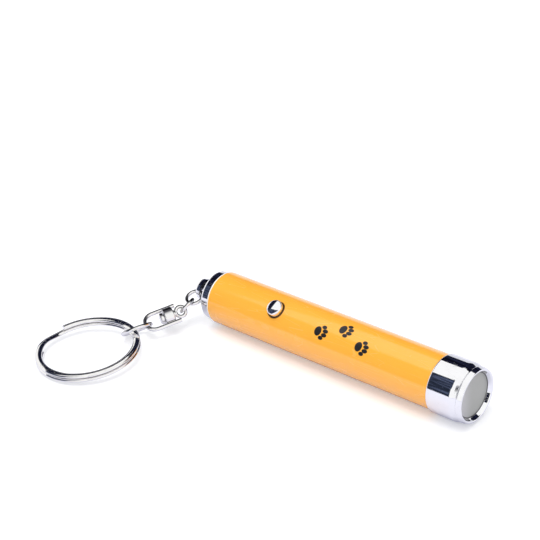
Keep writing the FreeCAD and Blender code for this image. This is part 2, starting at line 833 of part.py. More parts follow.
def chain_ring_2():
    centre = EYE_ANCHOR - LINK_WAY * S.link_radius.number
    place = frame(centre, -CROSS_SIDE, LINK_WAY.cross(-CROSS_SIDE))
    return wire_ring("chain_ring_2", S.link_radius, S.link_wire_radius, place)


def swivel_eye():
    """Eye with a collared shank that is riveted over behind the hub."""
    body = new_body("swivel_eye")
    body.Placement = frame(EYE_ANCHOR, SWIVEL_WAY, EYE_NORMAL)
    centre = S.eye_radius - S.eye_wire_radius - S.link_wire_radius - S.eye_gap
    root_station = centre + S.eye_radius
    collar_end = S.hub_station - S.end_clearance
    collar_start = collar_end - S.shank_collar_thickness
    rivet = S.hub_station + S.hub_length + S.end_clearance
    rivet_end = rivet + S.rivet_height
    outline = [
        (root_station, 0),
        (root_station, S.shank_radius),
        (collar_start, S.shank_radius),
        (collar_start, S.shank_collar_radius),
        (collar_end, S.shank_collar_radius),
        (collar_end, S.shank_radius),
        (rivet, S.shank_radius),
        (rivet, S.rivet_radius),
        (rivet_end, S.rivet_radius),
        (rivet_end, 0),
    ]
    revolve(body, polygon(sketch_on(body, "XZ_Plane"), outline))
    round_circles(body, S.rivet_round, (rivet_end, S.rivet_radius))
    eye = body.newObject("PartDesign::AdditiveTorus", "swivel_eye_ring")
    bind(eye, "Radius1", S.eye_radius)
    bind(eye, "Radius2", S.eye_wire_radius)
    planes = [plane for plane in body.Origin.OriginFeatures if plane.Role == "XY_Plane"]
    eye.AttachmentSupport = (planes[0], [""])
    eye.MapMode = "FlatFace"
    bind(eye, "AttachmentOffset.Base.x", centre)
    return body


def swivel_frame():
    """Bail of round wire whose legs run into a drilled hub."""
    body = new_body("swivel_frame")
    body.Placement = frame(EYE_ANCHOR, SWIVEL_WAY, SWIVEL_WAY.cross(BAIL_SIDE))
    hub = sketch_on(body, "YZ_Plane", S.hub_station)
    circle(hub, (0, 0), S.hub_radius)
    circle(hub, (0, 0), S.shank_radius + S.running_clearance)
    extrude(body, hub, S.hub_length)
    leg_start = S.hub_station - S.bail_leg_reach
    bow = S.bail_length - S.bail_half_width
    route = sketch_on(body, "XY_Plane")
    half = S.bail_half_width
    near_leg = Part.LineSegment(vector_of((leg_start, -half)), vector_of((bow, -half)))
    far_leg = Part.LineSegment(vector_of((bow, half)), vector_of((leg_start, half)))
    arc = Part.ArcOfCircle(Part.Circle(vector_of((bow, 0)), VECTOR(0, 0, 1), half.number), -math.pi / 2, math.pi / 2)
    for shape in (near_leg, arc, far_leg):
        route.addGeometry(shape)
    fix_point(route, 0, 1, (leg_start, -half))
    fix_point(route, 0, 2, (bow, -half))
    fix_point(route, 2, 1, (bow, half))
    fix_point(route, 2, 2, (leg_start, half))
    route.addConstraint(Sketcher.Constraint("Tangent", 0, 2, 1, 1))
    route.addConstraint(Sketcher.Constraint("Coincident", 1, 2, 2, 1))
    section = circle(sketch_on(body, "YZ_Plane", leg_start), (-half, 0), S.bail_wire_radius)
    bail = body.newObject("PartDesign::AdditivePipe", "swivel_frame_bail")
    bail.Profile = section
    bail.Spine = route
    return body


def jump_place():
    """Centre of the jump ring: its wire lies just inside the bow at the hook point."""
    inset = S.bail_wire_radius.number + S.jump_wire_radius.number + S.jump_gap.number
    return EYE_ANCHOR + HOOK + JUMP_WAY * (S.jump_radius.number - inset)


def jump_ring():
    place = frame(jump_place(), -JUMP_SIDE, JUMP_WAY.cross(-JUMP_SIDE))
    return wire_ring("jump_ring", S.jump_radius, S.jump_wire_radius, place)


def key_ring_place():
    """The split ring hangs in the jump ring and rests on the floor at its far edge."""
    opening = S.jump_radius.number - S.jump_wire_radius.number
    slant = KEY_HALF.number / math.sin(math.radians(S.jump_roll.number))
    reach = math.sqrt(opening ** 2 - slant ** 2) - S.key_wire_width.number / 2 - S.key_hook_clearance.number
    lift = math.radians(S.key_lift.number)
    toward = turned(-JUMP_WAY, VECTOR(0, 0, 1).cross(JUMP_WAY), S.key_lift.number)
    middle = jump_place() + JUMP_WAY * reach
    centre = middle - toward * KEY_MIDDLE.number
    centre.z = FLOOR + KEY_HALF.number * math.cos(lift) + S.key_radius.number * math.sin(lift)
    normal = turned(VECTOR(0, 0, 1), VECTOR(0, 0, 1).cross(JUMP_WAY), S.key_lift.number)
    return frame(centre, turned(toward, normal, S.key_turned.number), normal)


def eased(part):
    """Goes from 0 to 1 with a level start and end."""
    return part * part * (3 - 2 * part)


def flat_wire_section(body, height, degrees):
    """Section of the flat wire with chamfered corners, turned about the ring's axis."""
    sketch = sketch_on(body, "XZ_Plane")
    sketch.AttachmentOffset = FreeCAD.Placement(VECTOR(), FreeCAD.Rotation(VECTOR(0, 1, 0), 1))
    bind(sketch, "AttachmentOffset.Rotation.Angle", degrees)
    outer = S.key_radius
    inner = S.key_radius - S.key_wire_width
    top = height + S.key_wire_thickness / 2
    base = height - S.key_wire_thickness / 2
    chamfer = S.key_wire_chamfer
    points = [
        (inner + chamfer, base),
        (outer - chamfer, base),
        (outer, base + chamfer),
        (outer, top - chamfer),
        (outer - chamfer, top),
        (inner + chamfer, top),
        (inner, top - chamfer),
        (inner, base + chamfer),
    ]
    return polygon(sketch, points)


def split_ring():
    """Two flat turns of wire, joined into one band by a rising crossing."""
    body = new_body("split_ring")
    body.Placement = key_ring_place()
    low = -KEY_PITCH / 2
    half = S.key_crossing_angle / 2
    sweep = 360 - S.key_crossing_angle - S.key_end_angle
    revolve(body, flat_wire_section(body, low, half + S.key_end_angle), "V_Axis", sweep)
    steps = 4
    sections = []
    for index in range(steps + 1):
        part = index / steps
        height = low + KEY_PITCH * eased(part)
        sections.append(flat_wire_section(body, height, -half + S.key_crossing_angle * part))
    crossing = body.newObject("PartDesign::AdditiveLoft", "split_ring_crossing")
    crossing.Profile = sections[0]
    crossing.Sections = sections[1:]
    DOC.recompute()
    revolve(body, flat_wire_section(body, -low, half), "V_Axis", sweep)
    gap = split_ring_gap(sweep.number, S.key_crossing_angle.number)
    print(f"split_ring: least gap to itself {gap:.2f} mm")
    return body


def split_ring_gap(sweep, crossing):
    """Least gap between the turns, measured on points along the middle of the flat wire."""
    length = 2 * sweep + crossing

    def point(part):
        angle = math.radians(length * part)
        risen = eased(min(max((length * part - sweep) / crossing, 0), 1))
        radius = KEY_MIDDLE.number
        return VECTOR(radius * math.cos(angle), KEY_PITCH.number * risen, radius * math.sin(angle))

    return coil_gap(point, length / 360, S.key_wire_thickness.number)


def export(body):
    """Write one piece after checking that it is a single sound solid."""
    shape = body.Shape
    if shape.isNull() or not shape.isValid() or len(shape.Solids) != 1:
        raise ValueError(f"{body.Label} is not one sound solid")
    shape.exportStep(f"parts/{body.Label}.step")
    print(f"{body.Label}: {shape.Volume:.2f} cubic mm")


def main():
    pieces = [
        barrel_tube(),
        head_cap(),
        lens_bezel(),
        lens(),
        lens_o_ring(),
        optic_tube(),
        pattern_film(),
        led_lamp(),
        board_carrier(),
        circuit_board(),
        resistor(),
        front_contact(),
        button_cap(),
        switch_body(),
        switch_plunger(),
        tail_o_ring(),
        tail_cap(),
        battery_spring(),
        chain_ring_1(),
        chain_ring_2(),
        swivel_eye(),
        swivel_frame(),
        jump_ring(),
        split_ring(),
    ]
    pieces += [battery_cell(index) for index in range(round(S.cell_count.number))]
    DOC.recompute()
    for item in DOC.Objects:
        if "Invalid" in item.State or "Error" in item.State:
            raise ValueError(f"{item.Label} did not compute")
    for piece in pieces:
        export(piece)


main()
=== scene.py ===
import math
from types import SimpleNamespace

import bmesh
import bpy
import numpy as np
from bpy.props import FloatProperty, FloatVectorProperty, IntProperty, PointerProperty
from mathutils import Matrix


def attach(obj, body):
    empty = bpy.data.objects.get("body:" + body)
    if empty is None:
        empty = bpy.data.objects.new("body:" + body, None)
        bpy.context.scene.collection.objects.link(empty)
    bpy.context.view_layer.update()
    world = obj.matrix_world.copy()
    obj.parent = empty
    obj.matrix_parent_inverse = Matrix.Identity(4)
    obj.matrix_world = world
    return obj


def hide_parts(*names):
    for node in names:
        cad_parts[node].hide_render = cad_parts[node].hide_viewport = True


# Cat laser pointer, dressed around its CAD frame. Sizes are in millimetres in the frame's
# axes: +X to the light exit, +Z up, origin on the barrel axis.

bl_info = {
    "name": "Cat laser pointer",
    "version": (1, 0, 0),
    "blender": (4, 5, 0),
    "location": "View3D > Sidebar > Pointer",
    "description": "Builds the visible pieces, finishes and studio of a cat laser pointer",
    "category": "Object",
}

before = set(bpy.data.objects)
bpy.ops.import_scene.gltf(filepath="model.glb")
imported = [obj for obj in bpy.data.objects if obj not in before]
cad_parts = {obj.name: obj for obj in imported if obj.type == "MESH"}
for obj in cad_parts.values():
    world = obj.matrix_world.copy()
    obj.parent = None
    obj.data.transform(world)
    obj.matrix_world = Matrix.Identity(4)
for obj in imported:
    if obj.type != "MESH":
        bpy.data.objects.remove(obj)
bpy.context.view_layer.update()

# Metres in a millimetre, the tube's tail end on X, the button's lean from up towards -Y in
# degrees, and the height of the floor under the head
MM = 0.001
TAIL = -48.0
LEAN = 35.0
FLOOR = -7.4

# Chain: anchors and centres, unit directions along each link (WAY, TOWARD) and square to it
# (SIDE, NORMAL), and how far the split ring is turned in its own plane, in degrees
LINK_ANCHOR = np.array([-55.55, -1.6, 0.0])
EYE_ANCHOR = np.array([-56.01552, -8.79876, -2.69281])
LINK_WAY = np.array([-0.06046, -0.9349, -0.34972])
LINK_SIDE = np.array([0.99817, -0.05663, -0.02118])
CROSS_SIDE = np.array([0.68962, -0.29242, 0.66251])
SWIVEL_WAY = np.array([-0.43958, -0.88942, -0.12533])
EYE_NORMAL = np.array([0.63929, -0.40782, 0.65191])
BAIL_SIDE = np.array([0.86977, -0.38666, -0.30658])
JUMP_CENTRE = np.array([-61.01717, -20.44853, -4.07892])
JUMP_WAY = np.array([-0.33381, -0.94264, 0.0])
JUMP_SIDE = np.array([0.74281, -0.26304, 0.61566])
KEY_CENTRE = np.array([-65.74599, -33.8023, -4.97195])
KEY_NORMAL = np.array([-0.02329, -0.06576, 0.99756])
KEY_TOWARD = np.array([0.33299, 0.94035, 0.06976])
KEY_TURNED = 120.0

# Order of the axes in a surface of revolution: along the first axis, along the third, or along
# the first with the angle counted from the third
LYING = (0, 1, 2)
UPRIGHT = (1, 2, 0)
FROM_TOP = (0, 2, 1)

# How a grid of points closes: whether its last row joins the first, and its last column the first
LOOP = (True, True)
TUBE = (False, True)
SHEET = (False, False)

# Points closer than this, in metres, are welded
WELD = 2e-7

# Points round the section of a wire
WIRE_SIDES = 32


# Sizes and colours


def length(name, description, millimetres):
    """A length property in metres whose default is given in millimetres."""
    return FloatProperty(
        name=name,
        description=description,
        default=millimetres * MM,
        min=0.0,
        unit="LENGTH",
        subtype="DISTANCE",
        precision=5,
    )


def colour(name, description, red, green, blue):
    """A colour property."""
    return FloatVectorProperty(
        name=name,
        description=description,
        default=(red, green, blue),
        min=0.0,
        max=1.0,
        size=3,
        subtype="COLOR",
    )


class BarrelSizes(bpy.types.PropertyGroup):
    """Sizes of the barrel, head and button"""

    tube_radius: length("Tube radius", "Outer radius of the barrel", 7.0)
    tube_bore: length("Tube bore", "Inner radius of the barrel", 6.3)
    tube_length: length("Tube length", "Length of the barrel tube", 69.8)
    head_radius: length("Head radius", "Outer radius of the plated head sleeve", 7.4)
    head_length: length("Head length", "Length of the plated head sleeve", 8.1)
    lens_radius: length("Lens radius", "Radius of the frosted lens", 6.1)
    button_radius: length("Button radius", "Radius of the push button", 2.1)
    button_rise: length("Button rise", "Height of the button over the barrel", 1.5)
    button_station: length("Button station", "Distance of the button from the tail end", 21.5)


class ChainSizes(bpy.types.PropertyGroup):
    """Sizes of the rings and of the swivel"""

    link_radius: length("Link radius", "Radius of the small rings to their wire's middle", 2.25)
    link_wire: length("Link wire", "Wire radius of the small rings", 0.5)
    jump_radius: length("Jump ring radius", "Radius of the jump ring to its wire's middle", 3.9)
    bail_wire: length("Bail wire", "Wire radius of the swivel's bail", 0.55)
    key_radius: length("Split ring radius", "Outer radius of the split ring", 13.7)
    key_width: length("Split ring width", "Radial width of the flat wire", 1.9)
    key_thickness: length("Split ring thickness", "Thickness of one turn of flat wire", 0.98)
    key_gap: length("Split ring gap", "Gap between the two turns", 0.19)


class FinishColours(bpy.types.PropertyGroup):
    """Colours of the finishes"""

    lacquer: colour("Lacquer", "Amber lacquer of the barrel", 1.0, 0.462, 0.045)
    ink: colour("Ink", "Printed paw track", 0.012, 0.011, 0.012)
    chrome: colour("Chrome", "Bright plating of head, button and tail cap", 0.96, 0.96, 0.975)
    nickel: colour("Nickel", "Plating of the chain and rings", 0.92, 0.91, 0.9)
    frost: colour("Frosted lens", "Face of the lens", 0.52, 0.525, 0.515)
    seal: colour("Tail seal", "Translucent seal between tube and tail cap", 0.86, 0.84, 0.8)


class StudioSettings(bpy.types.PropertyGroup):
    """Light and camera"""

    overhead: FloatProperty(
        name="Overhead light",
        description="Strength of the large soft lamp",
        default=0.78,
        min=0.0,
    )
    sky: FloatProperty(
        name="Surround light",
        description="Strength of the white surround",
        default=0.9,
        min=0.0,
    )
    focal: FloatProperty(
        name="Focal length",
        description="Focal length in millimetres on a 36 mm sensor",
        default=102.357,
        min=1.0,
    )
    quality: IntProperty(
        name="Segments",
        description="Segments round a full turn",
        default=192,
        min=24,
    )


def sizes_of(group):
    """The group's lengths in millimetres, by name."""
    return SimpleNamespace(**{name: getattr(group, name) / MM for name in group.__annotations__})


# Surfaces: every shape is a grid of points


def unit(vector):
    """The vector at length 1."""
    return vector / np.linalg.norm(vector)


def axes(origin, forward, upward):
    """Origin with X along forward, Z along upward and Y across both."""
    forward = unit(np.asarray(forward, float))
    upward = unit(np.asarray(upward, float))
    side = np.cross(upward, forward)
    return np.asarray(origin, float), np.stack([forward, side, upward])


def placed(points, place):
    """Points of a place's own axes in the frame's axes."""
    origin, rows = place
    return origin + points @ rows


def barrel_axes(station=0.0, lean=0.0):
    """Barrel place at a station from the tail, with Z leaning from up towards -Y."""
    angle = math.radians(lean)
    return axes((TAIL + station, 0, 0), (1, 0, 0), (0, -math.sin(angle), math.cos(angle)))


def turns(count):
    """Angles of one full turn, the last left out."""
    return np.linspace(0, math.tau, count, endpoint=False)


def rounded(corners, steps=7):
    """Closed outline of corners (x, y, radius), each an arc that touches both of its sides.

    The arc begins at radius / tan(half the corner's angle) from the corner. Seen from its centre
    it is (sin((1 - p) s) first + sin(p s) last) / sin s, with p from 0 to 1 over the sweep s.
    """
    table = np.array(corners, float)
    points = table[:, :2]
    rows = []
    for index, radius in enumerate(table[:, 2]):
        corner = points[index]
        if radius == 0:
            rows.append(corner[None])
            continue
        back = unit(points[index - 1] - corner)
        onward = unit(points[(index + 1) % len(points)] - corner)
        half = math.acos(np.clip(back @ onward, -1, 1)) / 2
        reach = radius / math.tan(half)
        centre = corner + unit(back + onward) * radius / math.sin(half)
        first = corner + back * reach - centre
        last = corner + onward * reach - centre
        sweep = math.pi - 2 * half
        part = np.linspace(0, 1, steps)[:, None]
        arc = np.sin((1 - part) * sweep) * first + np.sin(part * sweep) * last
        rows.append(centre + arc / math.sin(sweep))
    return np.vstack(rows)


def supported(outline, closed=True, reach=0.03):
    """Add a point a reach inside both ends of each side over 6 reaches, to shade it flat."""
    ends = np.roll(outline, -1, axis=0)
    count = len(outline) if closed else len(outline) - 1
    rows = []
    for index in range(len(outline)):
        start, end = outline[index], ends[index]
        rows.append(start)
        size = np.linalg.norm(end - start)
        if index < count and size > 6 * reach:
            along = (end - start) / size * reach
            rows += [start + along, end - along]
    return np.array(rows)


def opened(outline, first):
    """Outline that is cut open before its given point, and supported."""
    return supported(np.roll(outline, -first, axis=0), closed=False)


def revolved(profile, place, angles, order=LYING):
    """Surface of revolution: point (a, r) of the profile runs to a, r cos t and r sin t."""
    along = profile[:, :1] + 0 * angles
    near = profile[:, 1:] * np.cos(angles)
    far = profile[:, 1:] * np.sin(angles)
    return placed(np.stack([along, near, far], -1)[..., order], place)


def doubled_ends(rows):
    """Rows with the first and the last one twice, where a section can shrink to a point."""
    return np.concatenate([rows[:1], rows, rows[-1:]])


def shrinking(count):
    """Size of a section along doubled ends, as a column: 0 at both ends and 1 between."""
    grow = np.ones((count + 2, 1))
    grow[[0, -1]] = 0
    return grow


def bent_ring(radius, wire, place, end, count):
    """Wire bent round Z from 0 to the end in degrees, each end shrunk to a point.

    At the angle t, and s round the wire, it is R + r cos s from the axis and r sin s high.
    """
    turn = np.radians(doubled_ends(np.linspace(0, end, count)))[:, None]
    grow = shrinking(count)
    section = turns(WIRE_SIDES)[None]
    away = radius + grow * wire * np.cos(section)
    height = grow * wire * np.sin(section)
    return placed(np.stack([away * np.cos(turn), away * np.sin(turn), height], -1), place)


def swept(route, wire, across, sides):
    """Tube round a route: its section lies square to the route, and begins towards across."""
    ahead = np.gradient(route, axis=0)
    ahead = ahead / np.linalg.norm(ahead, axis=1, keepdims=True)
    first = across - ahead * (ahead @ across)[:, None]
    first = first / np.linalg.norm(first, axis=1, keepdims=True)
    second = np.cross(ahead, first)
    grow = shrinking(len(route))
    first = (doubled_ends(first) * grow)[:, None]
    second = (doubled_ends(second) * grow)[:, None]
    turn = turns(sides)[None, :, None]
    return doubled_ends(route)[:, None] + wire * (np.cos(turn) * first + np.sin(turn) * second)


def grid_faces(rows, columns, closing, start):
    """Four corners of each cell of a grid, counted from the start."""
    index = start + np.arange(rows * columns).reshape(rows, columns)
    join_rows, join_columns = closing
    if join_columns:
        index = np.hstack([index, index[:, :1]])
    if join_rows:
        index = np.vstack([index, index[:1]])
    corners = [index[:-1, :-1], index[1:, :-1], index[1:, 1:], index[:-1, 1:]]
    return np.stack(corners, -1).reshape(-1, 4)


def grid_mesh(name, grids):
    """One mesh of grids, each given with the way in which it closes."""
    points = []
    faces = []
    start = 0
    for surface, closing in grids:
        rows, columns = surface.shape[:2]
        points.append(surface.reshape(-1, 3) * MM)
        faces.append(grid_faces(rows, columns, closing, start))
        start += rows * columns
    mesh = bpy.data.meshes.new(name)
    mesh.from_pydata(np.vstack(points).tolist(), [], np.vstack(faces).tolist())
    return mesh


def add_piece(name, grids, material, slot, body, *nodes, crease=38.0):
    """Weld grids into one closed piece whose faces point outwards, and fasten it.

    An edge stays sharp where its faces turn by more than the crease, in degrees.
    """
    mesh = grid_mesh(name, grids)
    work = bmesh.new()
    work.from_mesh(mesh)
    bmesh.ops.remove_doubles(work, verts=work.verts, dist=WELD)
    bmesh.ops.recalc_face_normals(work, faces=work.faces)
    work.to_mesh(mesh)
    work.free()
    mesh.shade_smooth()
    mesh.set_sharp_from_angle(angle=math.radians(crease))
    mesh.materials.append(material)
    piece = bpy.data.objects.new(name, mesh)
    bpy.context.scene.collection.objects.link(piece)
    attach(piece, body)
    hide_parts(*nodes)


# Shader maths


class Signal:
    """A socket that takes part in Python arithmetic; every step adds a Math node."""

    def __init__(self, paint, socket):
        self.paint = paint
        self.socket = socket

    def step(self, operation, *values):
        """Add a Math node on the values."""
        return self.paint.add("ShaderNodeMath", {"operation": operation}, dict(enumerate(values)))

    def __add__(self, other):
        return self.step("ADD", self, other)

    def __radd__(self, other):
        return self.step("ADD", other, self)

    def __sub__(self, other):
        return self.step("SUBTRACT", self, other)

    def __rsub__(self, other):
        return self.step("SUBTRACT", other, self)

    def __mul__(self, other):
        return self.step("MULTIPLY", self, other)

    def __rmul__(self, other):
        return self.step("MULTIPLY", other, self)

    def __truediv__(self, other):
        return self.step("DIVIDE", self, other)

    def __rtruediv__(self, other):
        return self.step("DIVIDE", other, self)

    def __pow__(self, other):
        return self.step("POWER", self, other)

    def __rpow__(self, other):
        return self.step("POWER", other, self)

    def __neg__(self):
        return self.step("MULTIPLY", self, -1.0)

    def __abs__(self):
        return self.step("ABSOLUTE", self)

    def sine(self):
        """Sine of the value in radians."""
        return self.step("SINE", self)

    def larger(self, other):
        """The larger of two values."""
        return self.step("MAXIMUM", self, other)

    def above(self, limit, soft):
        """0 below the limit and 1 above it, with a soft edge of the given half width."""
        return self.paint.add(
            "ShaderNodeMapRange",
            {"interpolation_type": "SMOOTHSTEP"},
            {"Value": self, "From Min": limit - soft, "From Max": limit + soft},
        )

    def below(self, limit, soft):
        """1 below the limit and 0 above it, with the same edge."""
        return 1 - self.above(limit, soft)


class Paint:
    """Node tree of a new material, or of a new world, written as expressions."""

    def __init__(self, name, library=None):
        library = bpy.data.materials if library is None else library
        self.owner = library.new(name)
        self.owner.use_nodes = True
        self.tree = self.owner.node_tree
        self.tree.nodes.clear()

    def add(self, kind, settings, sockets, output=0):
        """Add a node: its settings first, then the values and links of its sockets."""
        node = self.tree.nodes.new(kind)
        for name, value in settings.items():
            setattr(node, name, value)
        for name, value in sockets.items():
            socket = node.inputs[name]
            if isinstance(value, Signal):
                self.tree.links.new(value.socket, socket)
            else:
                socket.default_value = value
        return Signal(self, node.outputs[output]) if len(node.outputs) else None

    def place(self):
        """Object coordinates in millimetres, as one vector."""
        spot = self.add("ShaderNodeTexCoord", {}, {}, "Object")
        settings = {"operation": "SCALE"}
        return self.add("ShaderNodeVectorMath", settings, {0: spot, "Scale": 1 / MM})

    def parts(self, vector):
        """The vector's X, Y and Z."""
        node = self.add("ShaderNodeSeparateXYZ", {}, {0: vector}).socket.node
        return [Signal(self, output) for output in node.outputs]

    def off_axis(self, spot):
        """Distance from the barrel's axis."""
        _, y, z = self.parts(spot)
        return (y * y + z * z) ** 0.5

    def stretched(self, vector, factors):
        """The vector with each part times its own factor."""
        settings = {"operation": "MULTIPLY"}
        return self.add("ShaderNodeVectorMath", settings, {0: vector, 1: factors})

    def noise(self, vector, scale, detail=3.0, roughness=0.5):
        """Soft noise round 0.5, with scale waves to the millimetre."""
        sockets = {"Vector": vector, "Scale": scale, "Detail": detail, "Roughness": roughness}
        return self.add("ShaderNodeTexNoise", {}, sockets)

    def cells(self, vector, scale, feature="F1"):
        """Distance to the nearest of scattered points, or to the border between two cells."""
        settings = {"feature": feature}
        return self.add("ShaderNodeTexVoronoi", settings, {"Vector": vector, "Scale": scale})

    def mix(self, factor, first, second):
        """Colour that goes from first to second with the factor."""
        settings = {"data_type": "RGBA"}
        return self.add("ShaderNodeMix", settings, {0: factor, 6: first, 7: second}, 2)

    def bump(self, height, depth, strength):
        """Normal of a surface raised by height times depth in millimetres."""
        sockets = {"Height": height, "Distance": depth * MM, "Strength": strength}
        return self.add("ShaderNodeBump", {}, sockets)

    def seen_by(self):
        """Three signals: 1 on rays from the camera, from a mirror, and through glass."""
        node = self.add("ShaderNodeLightPath", {}, {}).socket.node
        kinds = ("Is Camera Ray", "Is Glossy Ray", "Is Transmission Ray")
        return [Signal(self, node.outputs[kind]) for kind in kinds]

    def surface(self, **sockets):
        """Principled surface; its words are the socket names with underscores."""
        named = {name.replace("_", " "): value for name, value in sockets.items()}
        return self.finished(self.add("ShaderNodeBsdfPrincipled", {}, named))

    def finished(self, shader, output="ShaderNodeOutputMaterial"):
        """Put the shader out, and give the material or world."""
        self.add(output, {}, {"Surface": shader})
        return self.owner


def solid(rgb):
    """The colour with full alpha."""
    return (*rgb, 1.0)


def scratches(paint, spot, scale, stretch, turn):
    """Fine hairlines: the dark lines of stretched cell borders, thinned by a slow noise."""
    width = 0.012
    sockets = {"Vector": spot, "Rotation": turn, "Scale": stretch}
    lined = paint.add("ShaderNodeMapping", {}, sockets)
    lines = paint.cells(lined, scale, "DISTANCE_TO_EDGE").below(width, width)
    return lines * paint.noise(spot, 0.35).above(0.5, 0.08)


def ellipses(u, v, ovals, soft):
    """Mask of ellipses (centre u, centre v, reach u, reach v): inside, du2 + dv2 is below 1."""
    mask = None
    for centre_u, centre_v, reach_u, reach_v in ovals:
        far_u = (u - centre_u) / reach_u
        far_v = (v - centre_v) / reach_v
        oval = (far_u * far_u + far_v * far_v).below(1.0, soft)
        mask = oval if mask is None else mask.larger(oval)
    return mask


def paw_track(paint, spot):
    """Mask of the printed paw track, worked out on the unrolled barrel.

    A print is a broad pad and four toes; the prints follow each other along the barrel and
    stand left and right of the line by turns.
    """
    start, pitch, count = -14.5, 6.3, 3
    line_lean, radius, offset = math.radians(34.0), 7.0, 1.35
    pad_and_toes = [
        (-0.75, 0.0, 1.0, 1.25),
        (0.62, -1.42, 0.72, 0.5),
        (1.35, -0.52, 0.82, 0.52),
        (1.35, 0.52, 0.82, 0.52),
        (0.62, 1.42, 0.72, 0.5),
    ]
    x, y, z = paint.parts(spot)
    angle = y.step("ARCTAN2", -y, z)
    along = (x - start) / pitch
    number = along.step("FLOOR", along)
    side = number.step("MODULO", number, 2.0) * 2 - 1
    u = (along - number - 0.5) * pitch
    v = (angle - line_lean) * radius + side * offset
    prints = number.above(-0.5, 0.1) * number.below(count - 0.5, 0.1)
    return ellipses(u, v, pad_and_toes, 0.12) * prints


def hole_shade_mask(paint, spot, station, hole):
    """Mask of a thin ring of painted gap shadow round the button's hole, on its side of the tube.
    """
    width, soft = 0.26, 0.08
    lean = math.radians(LEAN)
    x, y, z = paint.parts(spot)
    across = y * math.cos(lean) + z * math.sin(lean)
    up = z * math.cos(lean) - y * math.sin(lean)
    away = ((x - TAIL - station) ** 2.0 + across ** 2.0) ** 0.5
    return away.below(hole + width, soft) * up.above(0.0, 0.1)


def lacquer(colours, station, hole):
    """Glossy amber lacquer with orange peel, hairlines, paw track and painted shadow at the
    button's hole.
    """
    scuffed = (1.0, 0.7, 0.3, 1.0)
    # recess_shade is the colour of the painted shadow in the gap round the button's hole
    recess_shade = (0.04, 0.012, 0.005, 1.0)
    red, green, blue = colours.lacquer
    deep = solid((red * 0.985, green * 0.93, blue * 0.8))
    paint = Paint("amber_lacquer")
    spot = paint.place()
    peel = paint.noise(spot, 1.3, 2.0)
    cloud = paint.noise(spot, 0.12, 2.0)
    lines = scratches(paint, spot, 0.5, (0.12, 1.0, 1.0), (0.0, 0.0, 0.25))
    ink = paw_track(paint, spot)
    hole_shade = hole_shade_mask(paint, spot, station, hole)
    base = paint.mix(cloud, deep, solid(colours.lacquer))
    base = paint.mix(lines * 0.1, base, scuffed)
    base = paint.mix(ink, base, solid(colours.ink))
    # painted shadow: a dark ring round the button's hole stands in for the shade in its gap
    base = paint.mix(hole_shade * 0.88, base, recess_shade)
    height = peel * 0.35 + ink * 0.6 - lines * 0.4
    return paint.surface(
        Base_Color=base,
        Roughness=0.2 + cloud * 0.06 + lines * 0.15 + ink * 0.14,
        Normal=paint.bump(height, 0.012, 0.5),
        Coat_Weight=0.9 - ink * 0.55 - hole_shade * 0.8,
        Coat_Roughness=0.06,
        IOR=1.5,
    )


def plating(name, rgb, roughness, wear, streak, edge=0.0, shaded_slot=None):
    """Plated metal: a mirror with faint smudges, hairlines and a slow waviness.

    The edge is how far its upper sides are painted darker, a painted dark reflection, where they
    turn away from the eye. The shaded slot is the pair of stations between which shade is painted.
    """
    shade = (0.03, 0.03, 0.04, 1.0)
    recess_shade = (0.03, 0.035, 0.06, 1.0)
    dull = solid(tuple(0.9 * part for part in rgb))
    paint = Paint(name)
    spot = paint.place()
    smudge = paint.noise(spot, 0.45, 4.0, 0.6).above(0.55, 0.2)
    wave = paint.noise(spot, 0.5, 1.0)
    lines = scratches(paint, spot, 0.9, streak, (0.3, 0.2, 0.5))
    base = paint.mix(smudge * 0.35 + lines * 0.3, solid(rgb), dull)
    if edge:
        turned = paint.add("ShaderNodeLayerWeight", {}, {"Blend": 0.5}, "Facing")
        up = paint.parts(paint.add("ShaderNodeNewGeometry", {}, {}, "Normal"))[2]
        # painted dark reflection: upper sides go dark where they turn away from the eye
        base = paint.mix(turned.above(0.11, 0.09) * up.above(0.62, 0.15) * edge, base, shade)
    if shaded_slot:
        rear, front = shaded_slot
        station = paint.parts(spot)[0] - TAIL
        deep = station.above(rear, 0.05) * station.below(front, 0.05)
        # painted shade: the slot between the two stations is darkened
        base = paint.mix(deep * 0.85, base, recess_shade)
    return paint.surface(
        Base_Color=base,
        Metallic=1.0,
        Roughness=roughness + smudge * 0.05 * wear + lines * 0.16 * wear,
        Normal=paint.bump(wave * 0.6 - lines * 0.5 * wear, 0.012, 0.35),
    )


def frosted(colours):
    """Frosted lens: fine grain, painted shade at the rim with a nearly black painted shadow line
    there, and painted light on the -Y side.
    """
    # colours of the painted light on the -Y side and of the painted shadow line by the bezel's lip
    lit_side = (0.76, 0.75, 0.8, 1.0)
    line = (0.03, 0.03, 0.035, 1.0)
    bright_grain = (0.62, 0.62, 0.62, 1.0)
    red, green, blue = colours.frost
    shaded_rim = solid((red * 0.6, green * 0.6, blue * 0.62))
    paint = Paint("frosted_lens")
    spot = paint.place()
    _, y, _ = paint.parts(spot)
    radius = paint.off_axis(spot)
    grain = paint.noise(spot, 9.0, 3.0, 0.7)
    # painted shade: the lens darkens towards the bezel's lip
    base = paint.mix(radius.above(5.2, 0.9) * 0.55, solid(colours.frost), shaded_rim)
    base = paint.mix(grain * 0.2, base, bright_grain)
    # painted light: the -Y side is lighter
    base = paint.mix((-y).above(3.2, 3.2), base, lit_side)
    # painted shadow: a nearly black line just inside the bezel's mouth
    base = paint.mix(radius.above(5.52, 0.06) * 0.85, base, line)
    return paint.surface(
        Base_Color=base,
        Roughness=0.34 + grain * 0.12,
        Normal=paint.bump(grain, 0.01, 0.25),
        Transmission_Weight=0.25,
        IOR=1.49,
    )


